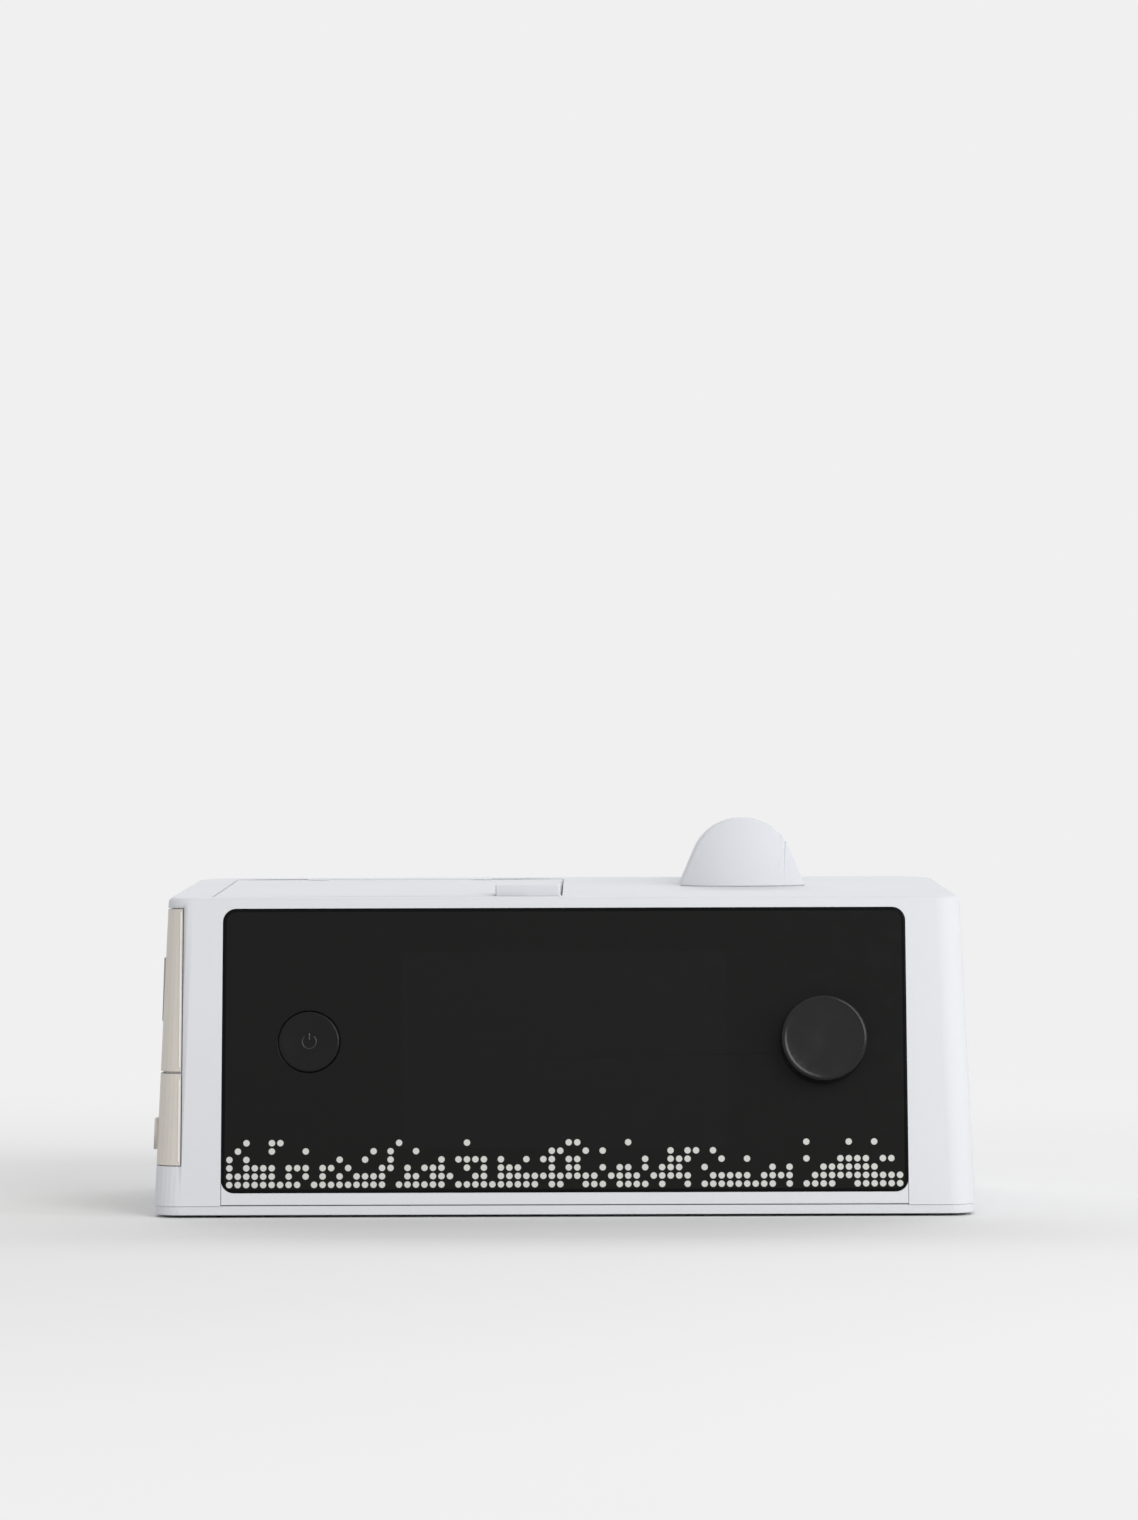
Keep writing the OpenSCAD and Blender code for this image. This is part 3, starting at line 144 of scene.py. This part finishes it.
def bare_metal(name, colour, roughness, stretch=(1, 1, 1), scale=900, depth=0.05):
    """Metal with fine drawn or turned lines, stretched along the way it was worked."""
    mat = bpy.data.materials.new(name)
    mat.use_nodes = True
    tree = mat.node_tree
    shader = tree.nodes["Principled BSDF"]
    shader.inputs["Metallic"].default_value = 1
    turn = tree.nodes.new("ShaderNodeMapping")
    turn.inputs["Scale"].default_value = stretch
    tree.links.new(tree.nodes.new("ShaderNodeTexCoord").outputs["Object"], turn.inputs["Vector"])
    lines = tree.nodes.new("ShaderNodeTexNoise")
    lines.inputs["Scale"].default_value = scale
    lines.inputs["Detail"].default_value = 4
    tree.links.new(turn.outputs["Vector"], lines.inputs["Vector"])
    tint = tree.nodes.new("ShaderNodeMix")
    tint.data_type = "RGBA"
    tint.inputs["A"].default_value = (*[c * 0.85 for c in colour], 1)
    tint.inputs["B"].default_value = (*colour, 1)
    tree.links.new(lines.outputs["Fac"], tint.inputs["Factor"])
    tree.links.new(tint.outputs["Result"], shader.inputs["Base Color"])
    gloss = tree.nodes.new("ShaderNodeMapRange")
    gloss.inputs["To Min"].default_value = roughness - 0.08
    gloss.inputs["To Max"].default_value = roughness + 0.08
    tree.links.new(lines.outputs["Fac"], gloss.inputs["Value"])
    tree.links.new(gloss.outputs["Result"], shader.inputs["Roughness"])
    bump = tree.nodes.new("ShaderNodeBump")
    bump.inputs["Strength"].default_value = depth
    bump.inputs["Distance"].default_value = 0.0001
    tree.links.new(lines.outputs["Fac"], bump.inputs["Height"])
    tree.links.new(bump.outputs["Normal"], shader.inputs["Normal"])
    return mat


foot_rubber = soft_rubber("foot_rubber", (0.035, 0.036, 0.038))
dressed("rubber_feet", "machine", foot_rubber, 0.0004)
screw_steel = bare_metal("plated_screw_steel", (0.62, 0.63, 0.65), 0.32)
finish_node("base_screws", screw_steel)

# ---- Tank bay, heater and insulation ----
# A grey polypropylene box stands on four legs in the left half and takes the water tank.
# On its floor lies a felt-like insulating pad with the machined aluminium heater plate on top.
bay_plastic = moulded("bay_grey_plastic", (0.52, 0.55, 0.59), 0.55)
dressed("tank_bay", "machine", bay_plastic, 0.0004)
pad_felt = moulded("insulating_felt", (0.27, 0.25, 0.215), 0.95, 420, 0.8, 0.2, 0.1)
finish_node("heater_insulator", pad_felt)
heater_alloy = bare_metal("milled_heater_alloy", (0.78, 0.79, 0.8), 0.3, (30, 1, 1), 60)
dressed("heater_plate", "machine", heater_alloy, 0.0004)

# ---- Blower ----
# A centrifugal blower in two moulded halves hangs on four soft rubber mounts.
# Its white impeller is pressed on the shaft of an outer-rotor motor with copper windings.
scroll_plastic = moulded("scroll_grey_plastic", (0.26, 0.29, 0.32), 0.5)
for name in ("blower_scroll_bottom", "blower_scroll_top"):
    dressed(name, "machine", scroll_plastic, 0.0004)
finish_node("blower_mounts", soft_rubber("mount_rubber", (0.045, 0.046, 0.05)))
dressed("impeller", "impeller",
        moulded("impeller_white_plastic", (0.8, 0.81, 0.83), 0.35), 0.00015, 1)
rotor_steel = bare_metal("rotor_steel", (0.5, 0.51, 0.53), 0.3, (1, 1, 40), 120)
dressed("rotor_cup", "impeller", rotor_steel, 0.0003)
shaft_steel = bare_metal("ground_shaft_steel", (0.72, 0.73, 0.75), 0.18, (1, 1, 60), 90)
for name in ("motor_shaft", "motor_bearings"):
    finish_node(name, shaft_steel)
finish_node("blower_screws", screw_steel)


def wound_copper(name):
    """Enamelled copper wire: fine parallel turns that catch the light."""
    mat = bare_metal(name, (0.66, 0.3, 0.13), 0.35)
    tree = mat.node_tree
    turns = tree.nodes.new("ShaderNodeTexWave")
    turns.bands_direction = "Z"
    turns.inputs["Scale"].default_value = 500
    tree.links.new(tree.nodes["Texture Coordinate"].outputs["Object"], turns.inputs["Vector"])
    bump = tree.nodes["Bump"]
    bump.inputs["Strength"].default_value = 0.5
    tree.links.new(turns.outputs["Fac"], bump.inputs["Height"])
    return mat


finish_node("motor_stator", wound_copper("wound_copper_wire"))

# ---- Air ducts ----
# Room air comes in at the left, runs along the rear and across to the blower, and on to the tank.
# The ducts are thin grey mouldings, and soft rubber rings seal them where they meet.
duct_plastic = moulded("duct_grey_plastic", (0.4, 0.44, 0.48), 0.6)
for name in ("inlet_chamber", "inlet_duct", "blower_outlet_duct", "outlet_duct"):
    dressed(name, "machine", duct_plastic, 0.0003)
finish_node("duct_seals", soft_rubber("seal_rubber", (0.06, 0.062, 0.065)))

# ---- Circuit boards ----
# Two green glass-fibre boards carry the electronics: one behind the front, one on the right wall.
# Each is held by four small screws and has tinned tracks under its solder mask.


def solder_mask(name):
    """Green lacquer over copper tracks, which show through as lighter right-angled lines."""
    mat = moulded(name, (0.012, 0.09, 0.045), 0.3, 700, 0.1, 0.15)
    tree = mat.node_tree
    shader = tree.nodes["Principled BSDF"]
    tracks = tree.nodes.new("ShaderNodeTexBrick")
    tracks.inputs["Scale"].default_value = 90
    tracks.inputs["Mortar Size"].default_value = 0.035
    tracks.inputs["Color1"].default_value = (0.012, 0.09, 0.045, 1)
    tracks.inputs["Color2"].default_value = (0.01, 0.075, 0.04, 1)
    tracks.inputs["Mortar"].default_value = (0.04, 0.2, 0.09, 1)
    tree.links.new(tree.nodes["Texture Coordinate"].outputs["Object"], tracks.inputs["Vector"])
    tree.links.new(tracks.outputs["Color"], shader.inputs["Base Color"])
    return mat


board_lacquer = solder_mask("green_solder_mask")
for name in ("front_board", "main_board"):
    finish_node(name, board_lacquer)
for name in ("front_board_screws", "main_board_screws"):
    finish_node(name, screw_steel)

# ---- Housing ----
# One large shell of pale ABS makes the top, the sides and the rear, and leans in on every side.
# Its corners are broadly rounded at the rear and tight at the front, and its surface is finely grained.
dressed("main_housing", "machine", shell_plastic, 0)

# ---- Side cover and filter door ----
# Two warm grey covers, darker than the shell as painted shade and warm light on the left-facing corner, wrap
# the left side and the corner of the front, and end there in a raised bead coloured lighter as a painted
# highlight.
# The lower one is a door on a steel pin, with a small nib to pull and air slots over the foam filter.
# the covers' warm grey, darker than the shell, is painted shade and warm light on the left-facing corner
side_painted_shade_plastic = moulded("side_warm_painted_shade_plastic", (0.665, 0.62, 0.565), 0.5)
dressed("side_cover", "machine", side_painted_shade_plastic, 0)
dressed("filter_door", "filter_door", side_painted_shade_plastic, 0)
finish_node("filter_door_pin", shaft_steel)
# lighter than the covers: a painted highlight along the bead on the rounded corner
bead_painted_highlight_plastic = moulded("cover_lip_painted_highlight_plastic", (0.74, 0.715, 0.68), 0.4)


side_lean, front_lean = radians(2.05), radians(9)
side_foot_x, front_foot_y, front_corner_r = -0.1355, -0.0825, 0.009


def cover_lip(cover, foot_gap, top_gap, body):
    """The raised bead along a cover's front edge, on the housing's rounded corner, coloured lighter than the
    cover as a painted highlight.
    """
    cover_low, cover_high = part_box(cover)
    low, high = cover_low.z + foot_gap, cover_high.z - top_gap
    bead_r, sunk, steps = 0.00035, 0.0001, 24
    bead_x = cover_high.x - 0.00065

    def place(z):
        centre_x = side_foot_x + z * tan(side_lean) + front_corner_r
        centre_y = front_foot_y + z * tan(front_lean) + front_corner_r
        off = min(0, bead_x - centre_x)
        return Vector((bead_x, centre_y - (front_corner_r ** 2 - off ** 2) ** 0.5 + sunk, z))

    bm = bmesh.new()
    bmesh.ops.create_circle(bm, cap_ends=False, radius=bead_r, segments=10,
                            matrix=Matrix.Translation(place(low)))
    edges = bm.edges[:]
    rise = (high - low) / steps
    for i in range(steps):
        grown = bmesh.ops.extrude_edge_only(bm, edges=edges)["geom"]
        edges = [e for e in grown if isinstance(e, bmesh.types.BMEdge)]
        bmesh.ops.translate(bm, verts=[v for v in grown if isinstance(v, bmesh.types.BMVert)],
                            vec=place(low + rise * (i + 1)) - place(low + rise * i))
    bmesh.ops.holes_fill(bm, edges=bm.edges)
    bmesh.ops.recalc_face_normals(bm, faces=bm.faces)
    mesh = bpy.data.meshes.new(cover + "_lip")
    bm.to_mesh(mesh)
    bm.free()
    lip = bpy.data.objects.new(cover + "_lip", mesh)
    scene.collection.objects.link(lip)
    mesh.materials.append(bead_painted_highlight_plastic)
    soften(lip, 0, angle=50)
    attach(lip, body)


cover_lip("side_cover", 0.0014, 0.001, "machine")
cover_lip("filter_door", 0.0012, 0.0018, "filter_door")


def open_foam(name, colour):
    """Reticulated foam: round cells with thin bright struts between them."""
    mat = moulded(name, colour, 0.95, 500, 0.3, 0.2, 0.1)
    tree = mat.node_tree
    cells = tree.nodes.new("ShaderNodeTexVoronoi")
    cells.inputs["Scale"].default_value = 650
    tree.links.new(tree.nodes["Texture Coordinate"].outputs["Object"], cells.inputs["Vector"])
    bump = tree.nodes["Bump"]
    bump.inputs["Strength"].default_value = 0.9
    bump.inputs["Distance"].default_value = 0.0008
    tree.links.new(cells.outputs["Distance"], bump.inputs["Height"])
    return mat


finish_node("air_filter", open_foam("filter_foam", (0.07, 0.085, 0.095)))
dressed("filter_frame", "machine", duct_plastic, 0.0003)

# ---- Outlet hood and hose port ----
# An arched hood of the housing's plastic rises at the right and leads back into an open trough,
# in which the round grey port for the 22 mm hose lies.
dressed("outlet_hood", "machine", shell_plastic, 0.0004)
port_plastic = moulded("port_grey_plastic", (0.56, 0.58, 0.61), 0.38)
dressed("outlet_port", "machine", port_plastic, 0.0004)

# ---- Water tank ----
# A clear polycarbonate tank with a pressed steel base lifts out of the bay with its lid.
# A grey silicone gasket lies on its rim, and a steel pin joins it to the lid at the rear.


def clear_plastic(name):
    """Polycarbonate: nearly colourless, polished, with the faint haze of handling."""
    mat = moulded(name, (0.80, 0.9, 0.95), 0.12, 220, 0.02, 0.02)
    shader = mat.node_tree.nodes["Principled BSDF"]
    shader.inputs["Transmission Weight"].default_value = 0.9
    shader.inputs["IOR"].default_value = 1.4
    return mat


dressed("water_tank", "tank", clear_plastic("clear_tank_plastic"), 0.0004)
dressed("tank_plate", "tank",
        bare_metal("pressed_tank_steel", (0.5, 0.51, 0.53), 0.4, (1, 25, 1), 70), 0.0003)
finish_node("tank_gasket", soft_rubber("gasket_silicone", (0.3, 0.31, 0.33)))
finish_node("lid_hinge_pin", shaft_steel)

# ---- Lid and latch ----
# The lid is flush with the sloping top and turns about a barrel at its rear edge.
# A low square latch stands on it at the front, held up by a small steel spring.
dressed("tank_lid", "lid", shell_plastic, 0.0004)
dressed("lid_latch", "latch", shell_plastic, 0.0005, 3)
finish_node("latch_spring", shaft_steel)

# ---- Front bezel and display ----
# A pale bezel closes the front and carries the display, the front board and the black panel.
# It is flush with the housing, and its side edges show as thin lines beside the panel.
dressed("front_bezel", "machine", shell_plastic, 0.0002)
finish_node("display_module", moulded("display_dark_glass", (0.006, 0.006, 0.007), 0.12, 300, 0.01, 0.1))

# ---- Black front panel ----
# A gloss black acrylic plate, printed on the back: the display window is left a touch clearer,
# and a band of off-white dots, thinner towards its upper edge, runs along the bottom.
plate_half_w, plate_half_h, plate_up, plate_corner = 112.9, 47.08, 55.38, 4.3


def printed_acrylic(name):
    """Back-printed gloss acrylic, with its print worked out in millimetres on the sloping face."""
    mat = moulded(name, (0.0075, 0.0083, 0.0073), 0.16, 500, 0.004, 0.08, 0.1)
    tree = mat.node_tree
    shader = tree.nodes["Principled BSDF"]
    base = shader.inputs["Base Color"].links[0].from_socket

    def math(kind, a, b=None, c=None):
        made = tree.nodes.new("ShaderNodeMath")
        made.operation = kind
        for socket, value in zip(made.inputs, (a, b, c)):
            if value is None:
                continue
            if isinstance(value, (int, float)):
                socket.default_value = value
            else:
                tree.links.new(value, socket)
        return made.outputs["Value"]

    def mix(mask, below, above):
        made = tree.nodes.new("ShaderNodeMix")
        made.data_type = "RGBA"
        tree.links.new(mask, made.inputs["Factor"])
        tree.links.new(below, made.inputs["A"])
        made.inputs["B"].default_value = (*above, 1)
        return made.outputs["Result"]

    split = tree.nodes.new("ShaderNodeSeparateXYZ")
    tree.links.new(tree.nodes["Texture Coordinate"].outputs["Object"], split.inputs["Vector"])
    across = math("MULTIPLY", split.outputs["X"], 1000)
    up = math("MULTIPLY", split.outputs["Z"], 1000 / cos(front_lean))
    # the display window
    window_half_w, window_half_h, window_up = 53.7, 32.5, 55.5
    in_w = math("LESS_THAN", math("ABSOLUTE", across), window_half_w)
    in_h = math("LESS_THAN", math("ABSOLUTE", math("SUBTRACT", up, window_up)), window_half_h)
    surface = mix(math("MULTIPLY", in_w, in_h), base, (0.0087, 0.0093, 0.0087))
    # the bare black edge outside the print, from the distance to the plate's rounded rectangle
    bare_edge = 1.1
    past_x = math("SUBTRACT", math("ABSOLUTE", across), plate_half_w - plate_corner)
    past_up = math("SUBTRACT", math("ABSOLUTE", math("SUBTRACT", up, plate_up)), plate_half_h - plate_corner)
    out_x, out_up = math("MAXIMUM", past_x, 0), math("MAXIMUM", past_up, 0)
    corner = math("SQRT", math("ADD", math("MULTIPLY", out_x, out_x), math("MULTIPLY", out_up, out_up)))
    out = math("ADD", corner, math("MINIMUM", math("MAXIMUM", past_x, past_up), 0))
    surface = mix(math("GREATER_THAN", out, plate_corner - bare_edge), surface, (0.0008, 0.0008, 0.0008))
    # the band of dots: their rows and columns, and a chance that falls towards the upper rows
    pitch, rise, foot = 2.79, 2.75, 9.55
    dot_r, dot_blur, rows, columns_each_side = 1.05, 0.07, 6, 40
    column = math("FLOOR", math("DIVIDE", across, pitch))
    row = math("FLOOR", math("DIVIDE", math("SUBTRACT", up, foot), rise))
    dx = math("MULTIPLY", math("SUBTRACT", math("DIVIDE", across, pitch), math("ADD", column, 0.5)), pitch)
    dy = math("MULTIPLY", math("SUBTRACT", math("DIVIDE", math("SUBTRACT", up, foot), rise),
                               math("ADD", row, 0.5)), rise)
    reach = math("SQRT", math("ADD", math("MULTIPLY", dx, dx), math("MULTIPLY", dy, dy)))
    dot = tree.nodes.new("ShaderNodeMapRange")
    tree.links.new(reach, dot.inputs["Value"])
    dot.inputs["From Min"].default_value = dot_r + dot_blur
    dot.inputs["From Max"].default_value = dot_r - dot_blur
    cell = tree.nodes.new("ShaderNodeCombineXYZ")
    tree.links.new(column, cell.inputs["X"])
    tree.links.new(row, cell.inputs["Y"])
    chance = tree.nodes.new("ShaderNodeTexWhiteNoise")
    chance.noise_dimensions = "2D"
    tree.links.new(cell.outputs["Vector"], chance.inputs["Vector"])
    swell = math("MULTIPLY", math("COSINE", math("MULTIPLY", column, 0.17)), 0.45)
    above = math("SUBTRACT", row, math("ADD", swell, 2.4))
    share = math("DIVIDE", 0.97, math("ADD", math("POWER", 2, above), 1))
    kept = math("LESS_THAN", chance.outputs["Value"], share)
    inside = math("MULTIPLY", math("GREATER_THAN", row, -0.5), math("LESS_THAN", row, rows - 0.5))
    sides = math("LESS_THAN", math("ABSOLUTE", math("ADD", column, 0.5)), columns_each_side)
    ink = math("MULTIPLY", math("MULTIPLY", dot.outputs["Result"], kept), math("MULTIPLY", inside, sides))
    surface = mix(ink, surface, (0.62, 0.62, 0.59))
    tree.links.new(surface, shader.inputs["Base Color"])
    return mat


dressed("front_panel", "machine", printed_acrylic("printed_black_acrylic"), 0.00035, 3)

# ---- Start button ----
# A round button of satin black plastic, flush with the panel inside a thin gap.
# Its dished face carries a small raised on-off mark, coloured lighter than the button as a painted
# highlight, and its stem reaches the switch behind it.
button_plastic = moulded("button_satin_plastic", (0.006, 0.0065, 0.006), 0.22, 1600, 0.03, 0.06, 0.16)
button_s = 0.05818
button_x = -0.0842
button_r = 0.010
flange_r = button_r + 0.0012
stem_r = 0.0022
on_front = Matrix.Translation((0, front_foot_y, 0)) @ Matrix.Rotation(radians(90) - front_lean, 4, "X")


def front_piece(name, bm, x, s, body, material):
    """Places a piece made about the Z axis on the sloping face, at x and at s up the face."""
    mesh = bpy.data.meshes.new(name)
    bmesh.ops.transform(bm, matrix=on_front @ Matrix.Translation((x, s, 0)), verts=bm.verts)
    bm.to_mesh(mesh)
    bm.free()
    piece = bpy.data.objects.new(name, mesh)
    scene.collection.objects.link(piece)
    mesh.materials.append(material)
    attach(piece, body)
    return piece


def turned(profile, steps):
    """A round piece from its half profile, given as radius and height from the middle outwards."""
    bm = bmesh.new()
    line = [bm.verts.new((r, 0, z)) for r, z in profile]
    for a, b in zip(line, line[1:]):
        bm.edges.new((a, b))
    bmesh.ops.spin(bm, geom=bm.verts[:] + bm.edges[:], angle=2 * pi, steps=steps, axis=(0, 0, 1),
                   cent=(0, 0, 0), use_merge=True)
    bmesh.ops.remove_doubles(bm, verts=bm.verts, dist=1e-6)
    bmesh.ops.recalc_face_normals(bm, faces=bm.faces)
    return bm


def dish(r, depth, edge_z):
    return [(r * i / 8, edge_z - depth * (1 - (i / 8) ** 2)) for i in range(9)]


stem_end = -0.0073
button = front_piece(
    "start_button",
    turned(dish(button_r - 0.0007, 0.0004, 0.0003) + [
        (button_r - 0.0004, 0.00024), (button_r - 0.0001, 0.0001), (button_r, -0.0001), (button_r, -0.0021),
        (flange_r, -0.0021), (flange_r, -0.0032), (stem_r, -0.0032),
        (stem_r, stem_end + 0.0002), (stem_r - 0.0002, stem_end), (0, stem_end)], 96),
    button_x, button_s, "power_button", button_plastic)
soften(button, 0, angle=40)
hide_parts("power_button")

mark_line_r, mark_r, bar_foot, bar_length = 0.00028, 0.0023, 0.0006, 0.0022
upright = Matrix.Rotation(radians(90), 4, "X")
mark = bmesh.new()
bmesh.ops.create_circle(mark, cap_ends=False, radius=mark_line_r, segments=10,
                        matrix=Matrix.Translation((mark_r, 0, 0)) @ upright)
bmesh.ops.rotate(mark, verts=mark.verts, matrix=Matrix.Rotation(radians(130), 3, "Z"))
bmesh.ops.spin(mark, geom=mark.verts[:] + mark.edges[:], angle=radians(280), steps=40, axis=(0, 0, 1),
               cent=(0, 0, 0))
bmesh.ops.holes_fill(mark, edges=mark.edges)
bar = bmesh.ops.create_circle(mark, cap_ends=True, radius=mark_line_r, segments=10,
                              matrix=Matrix.Translation((0, bar_foot, 0)) @ upright)
tip = bmesh.ops.extrude_face_region(mark, geom=list({f for v in bar["verts"] for f in v.link_faces}))
tip_verts = [v for v in tip["geom"] if isinstance(v, bmesh.types.BMVert)]
bmesh.ops.translate(mark, verts=tip_verts, vec=(0, bar_length, 0))
bmesh.ops.recalc_face_normals(mark, faces=mark.faces)
bmesh.ops.translate(mark, verts=mark.verts, vec=(0, 0, -0.00006))
# the mark is coloured lighter than the button: a painted highlight on the raised mark
mark_piece = front_piece("start_button_mark", mark, button_x, button_s, "power_button",
                         moulded("raised_mark_painted_highlight_plastic", (0.014, 0.0145, 0.014), 0.25, 1600, 0.03, 0.05, 0.5))
soften(mark_piece, 0, angle=60)
finish_node("button_switch", screw_steel)

# ---- Control knob and encoder ----
# A low round knob of satin black plastic, turned for the setting and pushed to confirm it.
# It sits on the steel shaft of an encoder, which a nut clamps in the bezel.
knob_plastic = moulded("knob_satin_plastic", (0.005, 0.0053, 0.0049), 0.16, 1500, 0.03, 0.06, 0.3)
dressed("control_knob", "knob", knob_plastic, 0.00025, 3, 25)
for name in ("encoder_body", "encoder_shaft", "encoder_nut"):
    finish_node(name, shaft_steel)
finish_node("encoder_plunger", moulded("plunger_black_plastic", (0.02, 0.02, 0.02), 0.5))

# ---- Rear panel, power jack and card slot ----
# A grey plate screwed into the rear holds the round power inlet with its centre pin
# and, under a small flap on a steel pin, the slot for the memory card.
rear_plastic = moulded("rear_grey_plastic", (0.45, 0.465, 0.49), 0.5)
dressed("rear_panel", "machine", rear_plastic, 0)
dressed("card_cover", "card_cover", rear_plastic, 0.0003)
finish_node("card_cover_pin", shaft_steel)
finish_node("rear_panel_screws", screw_steel)
jack_plastic = moulded("jack_black_plastic", (0.016, 0.016, 0.017), 0.45)
dressed("power_jack", "machine", jack_plastic, 0.0003)
finish_node("card_socket", bare_metal("stamped_socket_steel", (0.6, 0.61, 0.62), 0.3, (1, 20, 1), 80))
finish_node("memory_card", moulded("card_blue_plastic", (0.012, 0.04, 0.11), 0.35))

# ---- Floor, light and camera ----
# A wide sheet of pale paper under an even white sky, as in a photo tent, with three soft boxes: one above
# and behind, one at the front right and a narrow one at the right. The sheet takes the machine's soft
# shadow and fades into the backdrop, and the camera has a long lens.
floor_bm = bmesh.new()
bmesh.ops.create_grid(floor_bm, x_segments=1, y_segments=1, size=40)
floor_mesh = bpy.data.meshes.new("paper_sheet")
floor_bm.to_mesh(floor_mesh)
floor_bm.free()
floor = bpy.data.objects.new("paper_sheet", floor_mesh)
scene.collection.objects.link(floor)
backdrop_colour = (0.87, 0.87, 0.87, 1)


def shown_rays(tree):
    """1 for the camera's rays and for those that metal and glass send on, 0 for the light on the object."""
    path = tree.nodes.new("ShaderNodeLightPath")
    total = path.outputs["Is Camera Ray"]
    for kind in ("Is Glossy Ray", "Is Transmission Ray"):
        made = tree.nodes.new("ShaderNodeMath")
        made.operation = "ADD"
        made.use_clamp = True
        tree.links.new(total, made.inputs[0])
        tree.links.new(path.outputs[kind], made.inputs[1])
        total = made.outputs["Value"]
    return total


paper = moulded("pale_paper", (0.785, 0.785, 0.785), 0.9, 300, 0.02, 0.005, 0.0)
sheet = paper.node_tree
backdrop = sheet.nodes.new("ShaderNodeEmission")
backdrop.inputs["Color"].default_value = backdrop_colour
reach = sheet.nodes.new("ShaderNodeVectorMath")
reach.operation = "LENGTH"
sheet.links.new(sheet.nodes["Texture Coordinate"].outputs["Object"], reach.inputs[0])
fade = sheet.nodes.new("ShaderNodeMapRange")
fade.interpolation_type = "SMOOTHSTEP"
fade.inputs["From Min"].default_value = 0.25
fade.inputs["From Max"].default_value = 0.95
sheet.links.new(reach.outputs["Value"], fade.inputs["Value"])
faded = sheet.nodes.new("ShaderNodeMath")
faded.operation = "MULTIPLY"
sheet.links.new(fade.outputs["Result"], faded.inputs[0])
sheet.links.new(shown_rays(sheet), faded.inputs[1])
blend = sheet.nodes.new("ShaderNodeMixShader")
sheet.links.new(faded.outputs["Value"], blend.inputs[0])
sheet.links.new(sheet.nodes["Principled BSDF"].outputs["BSDF"], blend.inputs[1])
sheet.links.new(backdrop.outputs["Emission"], blend.inputs[2])
sheet.links.new(blend.outputs["Shader"], sheet.nodes["Material Output"].inputs["Surface"])
floor_mesh.materials.append(paper)

world = bpy.data.worlds.new("tent")
scene.world = world
world.use_nodes = True
sky = world.node_tree
lit = sky.nodes["Background"]
lit.inputs["Color"].default_value = (1, 1, 1, 1)
lit.inputs["Strength"].default_value = 0.61
shown = sky.nodes.new("ShaderNodeBackground")
shown.inputs["Color"].default_value = backdrop_colour
either = sky.nodes.new("ShaderNodeMixShader")
sky.links.new(shown_rays(sky), either.inputs[0])
sky.links.new(lit.outputs["Background"], either.inputs[1])
sky.links.new(shown.outputs["Background"], either.inputs[2])
sky.links.new(either.outputs["Shader"], sky.nodes["World Output"].inputs["Surface"])


def soft_lamp(name, size, energy, place):
    """An oval soft box, given as width and height, that faces the machine."""
    data = bpy.data.lights.new(name, "AREA")
    data.shape = "ELLIPSE"
    data.size, data.size_y = size
    data.energy = energy
    lamp = bpy.data.objects.new(name, data)
    scene.collection.objects.link(lamp)
    lamp.location = place
    lamp.rotation_euler = (Vector((0, 0, 0.05)) - lamp.location).to_track_quat("-Z", "Y").to_euler()


soft_lamp("rear_lamp", (2.6, 0.5), 10.5, (0.05, 1.15, 1.1))
soft_lamp("front_lamp", (1.0, 1.0), 12, (0.78, -1.42, 0.85))
soft_lamp("side_lamp", (0.14, 0.7), 3, (1.2, -0.6, 0.5))

camera_data = bpy.data.cameras.new("camera")
camera_data.sensor_fit = "HORIZONTAL"
camera_data.sensor_width = 36
camera_data.lens = 161.57
camera = bpy.data.objects.new("camera", camera_data)
scene.collection.objects.link(camera)
camera.location = (0.00781, -1.76, 0.12938)
camera.rotation_euler = (radians(90.7073), radians(0.1799), radians(0.2044))
scene.camera = camera
scene.view_settings.view_transform = "Standard"
